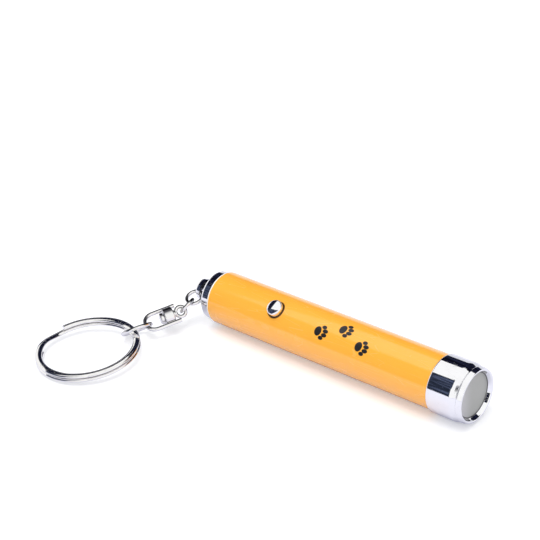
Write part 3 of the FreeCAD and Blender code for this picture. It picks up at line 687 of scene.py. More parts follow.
def clear_rubber(colours):
    """Translucent seal: milky, with a fine moulded texture."""
    milk = (0.93, 0.93, 0.9, 1.0)
    paint = Paint("clear_rubber")
    spot = paint.place()
    cloud = paint.noise(spot, 1.2, 3.0)
    return paint.surface(
        Base_Color=paint.mix(cloud, solid(colours.seal), milk),
        Roughness=0.3 + cloud * 0.15,
        Normal=paint.bump(paint.noise(spot, 6.0), 0.01, 0.3),
        IOR=1.41,
    )


def moulded(name, rgb, lighter, roughness, grain_scale, depth):
    """Moulded plastic or rubber: fine grain, slow colour drift and a little dust."""
    dusty = (0.5, 0.48, 0.45, 1.0)
    paint = Paint(name)
    spot = paint.place()
    grain = paint.noise(spot, grain_scale, 4.0, 0.6)
    drift = paint.noise(spot, 0.25, 2.0)
    dust = paint.noise(spot, 2.2, 5.0, 0.7).above(0.62, 0.06)
    base = paint.mix(drift, solid(rgb), solid(lighter))
    return paint.surface(
        Base_Color=paint.mix(dust * 0.12, base, dusty),
        Roughness=roughness + grain * 0.1 + dust * 0.1,
        Normal=paint.bump(grain, depth, 0.4),
    )


def lamp_epoxy():
    """Clear red lamp body, deeper at the foot, on tinned legs."""
    foot_red = (0.55, 0.03, 0.02, 1.0)
    nose_red = (0.9, 0.22, 0.16, 1.0)
    cloud_red = (0.95, 0.4, 0.3, 1.0)
    tin = (0.7, 0.69, 0.66, 1.0)
    paint = Paint("lamp_epoxy")
    spot = paint.place()
    station = paint.parts(spot)[0] - TAIL
    leg = station.below(57.9, 0.15)
    cloud = paint.noise(spot, 1.5, 2.0)
    base = paint.mix(station.above(63.0, 3.5), foot_red, nose_red)
    base = paint.mix(cloud * 0.2, base, cloud_red)
    base = paint.mix(leg, base, tin)
    return paint.surface(
        Base_Color=base,
        Metallic=leg,
        Roughness=0.12 + cloud * 0.08 + leg * 0.2,
        Normal=paint.bump(cloud, 0.01, 0.2),
        IOR=1.54,
    )


def board_mask():
    """Circuit board: green mask over darker tracks, with bright pads."""
    bare_green = (0.02, 0.16, 0.05, 1.0)
    track_green = (0.05, 0.3, 0.1, 1.0)
    fibre_green = (0.1, 0.35, 0.15, 1.0)
    solder = (0.75, 0.7, 0.6, 1.0)
    paint = Paint("board_mask")
    spot = paint.place()
    x, y, _ = paint.parts(spot)
    bands = {"wave_type": "BANDS", "bands_direction": "DIAGONAL"}
    sockets = {"Vector": spot, "Scale": 1.4, "Distortion": 1.5}
    fibre = paint.add("ShaderNodeTexWave", bands, sockets)
    tracks = ((y * 4.2).sine() * (x * 1.1).sine()).above(0.25, 0.05)
    pads = paint.cells(spot, 0.33).below(0.22, 0.03)
    base = paint.mix(tracks, bare_green, track_green)
    base = paint.mix(fibre * 0.15, base, fibre_green)
    base = paint.mix(pads, base, solder)
    return paint.surface(
        Base_Color=base,
        Metallic=pads,
        Roughness=0.32 - pads * 0.08 + tracks * 0.05,
        Normal=paint.bump(tracks * 0.6 + fibre * 0.2, 0.03, 0.4),
    )


def chip_body():
    """Chip resistor: black glass coat with tinned ends."""
    glass = (0.02, 0.02, 0.022, 1.0)
    tin = (0.72, 0.71, 0.68, 1.0)
    middle, half_glass = 34.0, 1.1
    paint = Paint("chip_body")
    spot = paint.place()
    station = paint.parts(spot)[0] - TAIL
    ends = abs(station - middle).above(half_glass, 0.04)
    grain = paint.noise(spot, 8.0, 3.0)
    return paint.surface(
        Base_Color=paint.mix(ends, glass, tin),
        Metallic=ends,
        Roughness=0.3 + grain * 0.15,
        Normal=paint.bump(grain, 0.01, 0.3),
    )


def cell_can():
    """Button cell: brushed can with a darker sealing ring at its shoulder."""
    dull_steel = (0.62, 0.61, 0.59, 1.0)
    bright_steel = (0.78, 0.77, 0.75, 1.0)
    rubber = (0.05, 0.05, 0.06, 1.0)
    ring_inner, ring_outer = 4.55, 4.95
    paint = Paint("cell_can")
    spot = paint.place()
    radius = paint.off_axis(spot)
    brushed = paint.noise(paint.stretched(spot, (0.2, 6.0, 6.0)), 1.0, 3.0)
    gasket = radius.above(ring_inner, 0.05) * radius.below(ring_outer, 0.05)
    base = paint.mix(brushed, dull_steel, bright_steel)
    return paint.surface(
        Base_Color=paint.mix(gasket, base, rubber),
        Metallic=1 - gasket,
        Roughness=0.22 + brushed * 0.14,
        Normal=paint.bump(brushed, 0.01, 0.3),
    )


def film_sheet():
    """Pattern film: nearly black emulsion with a clear paw in the middle."""
    emulsion = (0.01, 0.01, 0.015, 1.0)
    clear = (0.75, 0.75, 0.78, 1.0)
    pad_and_toes = [
        (0.0, -0.55, 1.0, 0.8),
        (-1.15, 0.55, 0.4, 0.55),
        (-0.42, 1.15, 0.4, 0.6),
        (0.42, 1.15, 0.4, 0.6),
        (1.15, 0.55, 0.4, 0.55),
    ]
    paint = Paint("film_sheet")
    spot = paint.place()
    _, y, z = paint.parts(spot)
    grain = paint.noise(spot, 5.0, 3.0)
    return paint.surface(
        Base_Color=paint.mix(ellipses(y, z, pad_and_toes, 0.1), emulsion, clear),
        Roughness=0.15 + grain * 0.1,
        Normal=paint.bump(grain, 0.005, 0.2),
    )


# Pieces


class POINTER_OT_barrel(bpy.types.Operator):
    """Lacquered barrel tube with the round opening for the button"""

    bl_idname = "pointer.barrel"
    bl_label = "Barrel tube"

    # Room round the button, wider bore for the tail cap, half side of the square patch that
    # holds the opening, and rounding of the opening's outer edge
    room = 0.1
    cap_bore_room = 0.25
    cap_bore_length = 5.2
    window = 3.6
    edge = 0.1

    # Cells along the patch's side, points round the quarter circle of the edge and from the
    # opening to the patch's side, and the power by which these spread outwards
    side_steps, edge_steps = 24, 6
    ray_steps, ray_power = 9, 1.3

    def execute(self, context):
        scene = context.scene
        size = sizes_of(scene.pointer_barrel)
        outer, bore, end = size.tube_radius, size.tube_bore, size.tube_length
        cap_bore = bore + self.cap_bore_room
        middle, side = size.button_station, self.window
        hole = size.button_radius + self.room
        span = side / outer
        window_turn = np.linspace(-span, span, self.side_steps + 1)
        rest_turn = np.linspace(span, math.tau - span, scene.pointer_studio.quality + 1)[1:-1]
        turn = np.concatenate([window_turn, rest_turn])
        place = barrel_axes(0, LEAN)
        rear = rounded([
            (middle - side, outer, 0),
            (middle - side, bore, 0),
            (self.cap_bore_length, bore, 0),
            (self.cap_bore_length, cap_bore, 0.05),
            (0, cap_bore, 0.15),
            (0, outer, 0.3),
        ])
        front = rounded([
            (middle + side, bore, 0),
            (middle + side, outer, 0),
            (end, outer, 0.2),
            (end, bore, 0.05),
        ])
        grids = [(revolved(opened(part, 1), place, turn, FROM_TOP), TUBE) for part in (rear, front)]
        beside = np.concatenate([[span], rest_turn, [math.tau - span]])
        stations = np.linspace(middle - side, middle + side, self.side_steps + 1)
        window = self.window_edge(middle, side, span)
        for radius, opening in ((outer, hole + self.edge), (bore, hole)):
            wall = np.column_stack([stations, np.full(len(stations), radius)])
            grids.append((revolved(wall, place, beside, FROM_TOP), SHEET))
            grids.append((placed(self.patch(window, middle, opening, radius), place), TUBE))
        grids.append((placed(self.hole_wall(window, middle, hole, outer, bore), place), TUBE))
        material = lacquer(scene.pointer_colours, middle, hole)
        add_piece("barrel_skin", grids, material, "lacquer", "barrel", "barrel_tube")
        return {"FINISHED"}

    def window_edge(self, middle, side, span):
        """Station and angle of points round the square window, with no point twice."""
        run = np.linspace(-1, 1, self.side_steps + 1)[:-1]
        one = np.ones(self.side_steps)
        station = middle + side * np.concatenate([-one, run, one, -run])
        angle = span * np.concatenate([run, one, -run, -one])
        return np.stack([station, angle], -1)

    def hole_curve(self, window, middle, hole, radius):
        """The hole's cylinder meets the barrel: (h cos a, h sin a, sqrt(R2 - (h sin a)2))."""
        around = np.arctan2(window[:, 1] * radius, window[:, 0] - middle)
        x = middle + hole * np.cos(around)
        y = hole * np.sin(around)
        return np.stack([x, y, np.sqrt(radius ** 2 - y ** 2)], -1)

    def patch(self, window, middle, hole, radius):
        """Between the hole and the window: stations and angles are mixed along each ray."""
        curve = self.hole_curve(window, middle, hole, radius)
        near = np.stack([curve[:, 0], np.arctan2(curve[:, 1], curve[:, 2])], -1)
        part = (np.linspace(0, 1, self.ray_steps) ** self.ray_power)[:, None, None]
        spot = near * (1 - part) + window * part
        x, angle = spot[..., 0], spot[..., 1]
        return np.stack([x, radius * np.sin(angle), radius * np.cos(angle)], -1)

    def hole_wall(self, window, middle, hole, outer, bore):
        """Wall of the hole: its outer edge is a quarter circle, wider and higher at its start."""
        rows = []
        for angle in np.linspace(0, math.pi / 2, self.edge_steps):
            wide = hole + self.edge * (1 - math.sin(angle))
            deep = outer - self.edge * (1 - math.cos(angle))
            rows.append(self.hole_curve(window, middle, wide, deep))
        rows.append(self.hole_curve(window, middle, hole, bore))
        return np.stack(rows)


class POINTER_OT_head(bpy.types.Operator):
    """Plated head sleeve, bezel bead and frosted lens"""

    bl_idname = "pointer.head"
    bl_label = "Head and lens"

    # Sleeve: how deep it sits in the tube, its radii from the bore outwards, and how far behind
    # its front the outer taper, the bezel's ledge and the lens's stop are
    root_depth = 5.8
    bore, lens_seat, spigot, ledge, nose = 5.6, 6.15, 6.25, 6.5, 6.75
    taper_length, ledge_depth, stop_depth = 1.15, 1.1, 2.02

    # Bezel: its radii from the mouth outwards, its spigot's length behind the sleeve's front, how
    # far neck, lens face and rim reach past that front, and how deep the lip slopes in
    mouth, lip, bezel_spigot, neck, bead_front, bead = 5.75, 6.3, 6.45, 6.6, 6.78, 7.15
    spigot_length = 1.0
    neck_reach, face_reach, rim_reach = 0.2, 0.6, 1.7
    lip_depth = 0.95

    lens_thickness = 1.96

    def execute(self, context):
        scene = context.scene
        size = sizes_of(scene.pointer_barrel)
        colours = scene.pointer_colours
        chrome = plating("bright_chrome", colours.chrome, roughness=0.035, wear=0.6,
                         streak=(0.15, 1.0, 1.0))
        turn = turns(scene.pointer_studio.quality)
        place = barrel_axes()
        front = size.tube_length + size.head_length
        sleeve = revolved(self.sleeve(size, front), place, turn)
        add_piece("head_sleeve", [(sleeve, LOOP)], chrome, "chrome", "barrel", "head_cap")
        bezel = revolved(self.bezel(front), place, turn)
        add_piece("bezel_bead", [(bezel, LOOP)], chrome, "chrome", "barrel", "lens_bezel")
        face = front + self.face_reach
        back = face - self.lens_thickness
        radius = size.lens_radius
        disc = rounded([(back, 0, 0), (back, radius, 0.15), (face, radius, 0.15), (face, 0, 0)])
        lens = revolved(disc, place, turn)
        add_piece("lens_disc", [(lens, TUBE)], frosted(colours), "lens", "barrel", "lens")
        return {"FINISHED"}

    def sleeve(self, size, front):
        """Profile of the sleeve, whose front end tapers in a wide arc."""
        tube, outer = size.tube_length, size.head_radius
        root = tube - self.root_depth
        ledge = front - self.ledge_depth
        stop = front - self.stop_depth
        return supported(rounded([
            (root, self.bore, 0.05),
            (root, self.spigot, 0.1),
            (tube, self.spigot, 0.05),
            (tube, outer, 0.45),
            (front - self.taper_length, outer, 2.2),
            (front, self.nose, 0.12),
            (front, self.ledge, 0.05),
            (ledge, self.ledge, 0.05),
            (ledge, self.lens_seat, 0.02),
            (stop, self.lens_seat, 0.02),
            (stop, self.bore, 0.02),
        ]))

    def bezel(self, front):
        """Profile of the bezel: spigot, neck, bead and a rounded lip that slopes to the mouth."""
        root = front - self.spigot_length
        neck = front + self.neck_reach
        rim = front + self.rim_reach
        face = front + self.face_reach
        return supported(rounded([
            (root, self.lens_seat, 0.05),
            (root, self.bezel_spigot, 0.05),
            (front, self.bezel_spigot, 0.02),
            (front, self.neck, 0.03),
            (neck, self.neck, 0.1),
            (neck, self.bead, 0.25),
            (rim, self.bead_front, 0.15),
            (rim, self.lip, 0.55),
            (rim - self.lip_depth, self.mouth, 0.05),
            (face, self.mouth, 0.02),
            (face, self.lens_seat, 0.02),
        ], steps=9))


class POINTER_OT_button(bpy.types.Operator):
    """Domed plated push button"""

    bl_idname = "pointer.button"
    bl_label = "Push button"

    # Heights over the barrel axis between which the inner flange lies, its width, the depth of
    # the shoulder under the top, the rounding of the edge and the height of the crown
    flange_foot, flange_top = 5.0185, 5.6185
    flange_width = 0.5
    shoulder = 0.17
    edge = 0.45
    crown = 0.2

    # Points from the crown's edge to its middle, the least distance of the first of them from
    # that edge, and points round a full turn
    crown_steps, crown_gap = 13, 0.05
    segments = 96

    def execute(self, context):
        scene = context.scene
        size = sizes_of(scene.pointer_barrel)
        chrome = plating("button_chrome", scene.pointer_colours.chrome, roughness=0.03, wear=0.5,
                         streak=(1.0, 1.0, 1.0))
        dome = self.dome(size.tube_radius + size.button_rise, size.button_radius)
        profile = supported(dome, closed=False)
        place = barrel_axes(size.button_station, LEAN)
        surface = revolved(profile, place, turns(self.segments), UPRIGHT)
        add_piece("button_dome", [(surface, TUBE)], chrome, "chrome", "button", "button_cap",
                  crease=50)
        return {"FINISHED"}

    def dome(self, top, radius):
        """Height and radius: flange and skirt, then the crown, top - c (r / R)2 at the radius r."""
        flange = radius + self.flange_width
        skirt = rounded([
            (self.flange_foot, 0, 0),
            (self.flange_foot, flange, 0.08),
            (self.flange_top, flange, 0.08),
            (self.flange_top, radius, 0.04),
            (top - self.shoulder, radius, self.edge),
            (top, 0, 0),
        ], steps=12)[:-1]
        reach = radius * np.linspace(1, 0, self.crown_steps)
        reach = reach[reach < skirt[-1, 1] - self.crown_gap]
        crown = np.stack([top - self.crown * (reach / radius) ** 2, reach], -1)
        return np.vstack([skirt, crown])


class POINTER_OT_tail(bpy.types.Operator):
    """Tail cap with its slotted boss, seal and battery spring"""

    bl_idname = "pointer.tail"
    bl_label = "Tail cap"

    # Cap: stations from the tube's tail end, and radii
    spigot_end, spigot_bore_end, shoulder, cup_floor, collar_end = 4.5, 0.3, -0.4, -1.5, -3.1
    spigot, spigot_bore, collar, cup = 6.5, 5.95, 6.65, 5.0

    # Boss: stations of the slot and of the end, radius, rounding of the end, the neck's chord
    # across the slot, and the eccentric hole of the end disc
    slot_front, disc_inner, boss_end = -4.5, -6.7, -8.4
    boss = 3.0
    end_round = 0.8
    neck_offset = -0.6
    hole_radius = 0.9
    hole_offset = -1.6

    # Seal: radii; it lies between the shoulder and the tube
    seal_inner, seal_outer = 6.55, 6.78

    # Spring: wire radius, turns, and the coil's radius and station at both of its ends
    spring_wire, spring_turns = 0.25, 3
    coil_wide, coil_narrow = 4.5, 2.2
    coil_start, coil_end = -1.25, 1.65

    # Points along the neck's arc, round the end disc, from its hole to its rim, along the spring
    # and round its wire
    neck_steps, disc_segments, disc_steps = 61, 120, 40
    coil_steps, coil_sides = 241, 16

    def execute(self, context):
        scene = context.scene
        colours = scene.pointer_colours
        # the boss's slot gets painted shade through shaded_slot
        chrome = plating("tail_chrome", colours.chrome, roughness=0.04, wear=0.9,
                         streak=(0.15, 1.0, 1.0), shaded_slot=(self.disc_inner, self.slot_front))
        turn = turns(scene.pointer_studio.quality)
        place = barrel_axes()
        grids = [(revolved(self.cap(), place, turn), TUBE),
                 (placed(self.neck(), place), TUBE),
                 (placed(self.disc(), place), LOOP)]
        add_piece("tail_cap_shell", grids, chrome, "chrome", "tail", "tail_cap")
        seal = revolved(self.seal(), place, turn)
        rubber = clear_rubber(colours)
        add_piece("tail_seal_ring", [(seal, LOOP)], rubber, "clear_seal", "tail_seal",
                  "tail_o_ring")
        steel = plating("spring_steel", (0.7, 0.69, 0.66), roughness=0.16, wear=1.0,
                        streak=(1.0, 1.0, 1.0))
        along = np.array([1.0, 0.0, 0.0])
        coil = swept(placed(self.coil(), place), self.spring_wire, along, self.coil_sides)
        add_piece("battery_coil", [(coil, TUBE)], steel, "spring_metal", "tail", "battery_spring",
                  crease=60)
        return {"FINISHED"}

    def cap(self):
        """Profile of spigot, collar and the boss's root, open on the axis."""
        outline = rounded([
            (self.slot_front, 0, 0),
            (self.cup_floor, 0, 0),
            (self.cup_floor, self.cup, 0.1),
            (self.spigot_bore_end, self.cup, 0.1),
            (self.spigot_bore_end, self.spigot_bore, 0.05),
            (self.spigot_end, self.spigot_bore, 0.08),
            (self.spigot_end, self.spigot, 0.08),
            (self.shoulder, self.spigot, 0.02),
            (self.shoulder, self.collar, 0.1),
            (self.collar_end, self.spigot, 0.8),
            (self.collar_end, self.boss, 0.12),
            (self.slot_front, self.boss, 0.05),
        ], steps=9)
        return opened(outline, 1)

    def neck(self):
        """D-shaped neck: the boss circle where y is over the offset, closed by its chord."""
        start = math.acos(self.neck_offset / self.boss)
        angle = np.linspace(-start, start, self.neck_steps)
        outline = self.boss * np.stack([np.cos(angle), np.sin(angle)], -1)
        middle = np.array([[self.boss / 2, 0.0]])
        rows = []
        for station, grow in ((self.disc_inner, 0), (self.disc_inner, 1),
                              (self.slot_front, 1), (self.slot_front, 0)):
            flat = middle + grow * (outline - middle)
            rows.append(np.column_stack([np.full(len(flat), station), flat]))
        return np.stack(rows)

    def disc(self):
        """End disc: its points run from the eccentric hole out to the rim and back along rays.

        With its rim rounded by n, the outer face stands at end + n (1 - sqrt(1 - k2)), where k is
        (a - R + n) / n at the distance a from the axis, and 0 where that is negative.
        """
        angle = turns(self.disc_segments)
        ray = np.stack([np.cos(angle), np.sin(angle)], -1)
        centre = np.array([self.hole_offset, 0.0])
        near = centre + self.hole_radius * ray
        dot = self.hole_offset * ray[:, 0]
        reach = -dot + np.sqrt(dot ** 2 - self.hole_offset ** 2 + self.boss ** 2)
        far = centre + ray * reach[:, None]
        part = np.linspace(0, 1, self.disc_steps)[:, None, None]
        spread = near * (1 - part) + far * part
        away = np.linalg.norm(spread, axis=-1)
        over = np.clip((away - self.boss + self.end_round) / self.end_round, 0, 1)
        station = self.boss_end + self.end_round * (1 - np.sqrt(1 - over ** 2))
        outer_face = np.concatenate([station[..., None], spread], -1)
        inner_station = np.full((2, len(angle), 1), self.disc_inner)
        inner_face = np.concatenate([inner_station, np.stack([far, near])], -1)
        return np.concatenate([outer_face, inner_face])

    def seal(self):
        """Profile of the flat seal ring."""
        return rounded([
            (self.shoulder, self.seal_inner, 0.02),
            (self.shoulder, self.seal_outer, 0.1),
            (0, self.seal_outer, 0.1),
            (0, self.seal_inner, 0.02),
        ])

    def coil(self):
        """Conical helix: station and radius go evenly from the wide end to the narrow one."""
        part = np.linspace(0, 1, self.coil_steps)
        turn = math.tau * self.spring_turns * part
        radius = self.coil_wide + (self.coil_narrow - self.coil_wide) * part
        station = self.coil_start + (self.coil_end - self.coil_start) * part
        return np.stack([station, radius * np.cos(turn), radius * np.sin(turn)], -1)


class POINTER_OT_chain(bpy.types.Operator):
    """Two small rings, swivel and jump ring"""

    bl_idname = "pointer.chain"
    bl_label = "Chain"

    # Rings: where their wire is cut, in degrees from its start, and sections along the wire
    ring_end, ring_steps = 358.0, 120

    # Eye: radius to its wire's middle, room between anchor and wire, and sections along the
    # wire, the last on the first
    eye_radius, eye_room, eye_steps = 1.35, 0.2, 97

    # Shank, its collar before the hub and its riveted head behind it: radii and distances from
    # the anchor
    shank, collar, head = 0.7, 1.05, 1.5
    collar_start, collar_end = 1.8, 2.25
    head_start, head_end = 5.05, 6.05

    # Hub: bore, radius and distances from the anchor
    hub_bore, hub = 0.75, 2.35
    hub_start, hub_end = 2.35, 4.95

    # Bail: half its width, where its legs start and where its half circle begins
    half_width = 2.75
    leg_start, bow_start = 1.0, 7.4

    # Points round shank and hub, and along a leg and the half circle of the bail
    shank_segments, hub_segments = 48, 96
    leg_steps, bow_steps = 24, 49

    def execute(self, context):
        scene = context.scene
        size = sizes_of(scene.pointer_chain)
        # edge paints the wires' upper sides darker where they turn from the eye, a painted dark
        # reflection
        nickel = plating("chain_nickel", scene.pointer_colours.nickel, roughness=0.07, wear=1.0,
                         streak=(1.0, 1.0, 1.0), edge=0.95)
        wire, radius = size.link_wire, size.link_radius
        first = self.link_axes(LINK_ANCHOR + LINK_WAY * radius, LINK_WAY, LINK_SIDE)
        second = self.link_axes(EYE_ANCHOR - LINK_WAY * radius, LINK_WAY, -CROSS_SIDE)
        jump = self.link_axes(JUMP_CENTRE, JUMP_WAY, -JUMP_SIDE)
        rings = [("link_ring_1", "chain_ring_1", "chain_link_1", radius, first),
                 ("link_ring_2", "chain_ring_2", "chain_link_2", radius, second),
                 ("jump_ring_wire", "jump_ring", "jump_link", size.jump_radius, jump)]
        for name, node, body, middle, place in rings:
            grid = bent_ring(middle, wire, place, self.ring_end, self.ring_steps)
            add_piece(name, [(grid, TUBE)], nickel, "nickel", body, node, crease=60)
        self.eye(nickel, wire)
        self.bail(nickel, size.bail_wire)
        return {"FINISHED"}

    def link_axes(self, centre, way, side):
        """Place of a ring whose axis is the cross product of way and side."""
        return axes(centre, side, np.cross(way, side))

    def eye(self, nickel, wire):
        """Eye ring, closed by leaving out its end points, with a collared and riveted shank."""
        radius = self.eye_radius
        centre = radius - 2 * wire - self.eye_room
        around = axes(EYE_ANCHOR + SWIVEL_WAY * centre, SWIVEL_WAY, EYE_NORMAL)
        ring = bent_ring(radius, wire, around, 360, self.eye_steps)[1:-2]
        profile = rounded([
            (centre + radius, 0, 0),
            (centre + radius, self.shank, 0),
            (self.collar_start, self.shank, 0.04),
            (self.collar_start, self.collar, 0.15),
            (self.collar_end, self.collar, 0.1),
            (self.collar_end, self.shank, 0.02),
            (self.head_start, self.shank, 0.02),
            (self.head_start, self.head, 0.12),
            (self.head_end, self.head, 0.5),
            (self.head_end, 0, 0),
        ])
        place = axes(EYE_ANCHOR, SWIVEL_WAY, EYE_NORMAL)
        shank = revolved(profile, place, turns(self.shank_segments))
        grids = [(ring, LOOP), (shank, TUBE)]
        add_piece("swivel_eye_shank", grids, nickel, "nickel", "eye", "swivel_eye", crease=60)

    def bail(self, nickel, wire):
        """Drilled hub with a U of round wire: two legs and a half circle between them."""
        across = np.cross(SWIVEL_WAY, BAIL_SIDE)
        place = axes(EYE_ANCHOR, SWIVEL_WAY, across)
        profile = supported(rounded([
            (self.hub_start, self.hub_bore, 0.1),
            (self.hub_start, self.hub, 0.3),
            (self.hub_end, self.hub, 0.3),
            (self.hub_end, self.hub_bore, 0.1),
        ]))
        half, bow = self.half_width, self.bow_start
        leg = np.linspace(self.leg_start, bow, self.leg_steps, endpoint=False)
        bend = np.linspace(-math.pi / 2, math.pi / 2, self.bow_steps)
        near = np.stack([leg, -half + 0 * leg, 0 * leg], -1)
        arc = np.stack([bow + half * np.cos(bend), half * np.sin(bend), 0 * bend], -1)
        far = near[::-1] * np.array([1, -1, 1])
        route = placed(np.vstack([near, arc, far]), place)
        grids = [(revolved(profile, place, turns(self.hub_segments)), LOOP),
                 (swept(route, wire, across, WIRE_SIDES), TUBE)]
        add_piece("swivel_bail", grids, nickel, "nickel", "bail", "swivel_frame", crease=50)


class POINTER_OT_split_ring(bpy.types.Operator):
    """Split ring: two turns of flat wire joined by one crossing"""

    bl_idname = "pointer.split_ring"
    bl_label = "Split ring"

    # Degrees: half the crossing, from the crossing to the first cut end, and the sweep of the
    # second turn to the other cut end; then the number of sections along the wire
    half_crossing = 20.0
    cut = 4.0
    sweep = 316.0
    steps = 421

    def execute(self, context):
        scene = context.scene
        size = sizes_of(scene.pointer_chain)
        nickel = plating("ring_nickel", scene.pointer_colours.nickel, roughness=0.07, wear=1.4,
                         streak=(1.0, 1.0, 0.15))
        turned = math.radians(KEY_TURNED)
        sideways = np.cross(KEY_NORMAL, KEY_TOWARD)
        forward = math.cos(turned) * KEY_TOWARD + math.sin(turned) * sideways
        band = placed(self.band(size), axes(KEY_CENTRE, forward, KEY_NORMAL))
        add_piece("split_ring_band", [(band, TUBE)], nickel, "nickel", "key_ring", "split_ring",
                  crease=50)
        return {"FINISHED"}

    def band(self, size):
        """Oval section carried round twice; its height eases up by q2 (3 - 2 q) on the crossing."""
        start = self.half_crossing + self.cut
        end = self.half_crossing + 360 + self.sweep
        degrees = doubled_ends(np.linspace(start, end, self.steps))[:, None]
        risen = np.clip((degrees - 360 + self.half_crossing) / (2 * self.half_crossing), 0, 1)
        pitch = size.key_thickness + size.key_gap
        height = pitch * (risen * risen * (3 - 2 * risen) - 0.5)
        wide, thick = size.key_width, size.key_thickness
        oval = turns(WIRE_SIDES)
        grow = shrinking(self.steps)
        turn = np.radians(degrees)
        away = size.key_radius - wide / 2 + grow * (wide / 2 * np.cos(oval))
        z = height + grow * (thick / 2 * np.sin(oval))
        return np.stack([away * np.cos(turn), away * np.sin(turn), z], -1)


class POINTER_OT_inside(bpy.types.Operator):
    """Finishes of the pieces inside the barrel"""

    bl_idname = "pointer.inside"
    bl_label = "Inner pieces"

    def execute(self, context):
        black = moulded("black_moulding", (0.018, 0.018, 0.02), (0.035, 0.034, 0.036),
                        roughness=0.42, grain_scale=4.0, depth=0.02)
        rubber = moulded("black_rubber", (0.01, 0.01, 0.01), (0.02, 0.02, 0.02),
                         roughness=0.6, grain_scale=7.0, depth=0.01)
        white = moulded("plunger_white", (0.72, 0.72, 0.7), (0.8, 0.8, 0.78),
                        roughness=0.35, grain_scale=5.0, depth=0.01)
        steel = plating("contact_steel", (0.75, 0.73, 0.68), roughness=0.14, wear=1.0,
                        streak=(1.0, 0.2, 1.0))
        cell = cell_can()
        finishes = {
            "lens_o_ring": rubber,
            "optic_tube": black,
            "board_carrier": black,
            "switch_body": black,
            "pattern_film": film_sheet(),
            "led_lamp": lamp_epoxy(),
            "circuit_board": board_mask(),
            "resistor": chip_body(),
            "front_contact": steel,
            "switch_plunger": white,
            "battery_cell_1": cell,
            "battery_cell_2": cell,
            "battery_cell_3": cell,
        }
        for name, material in finishes.items():
            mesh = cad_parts[name].data
            mesh.materials.clear()
            mesh.materials.append(material)
        return {"FINISHED"}


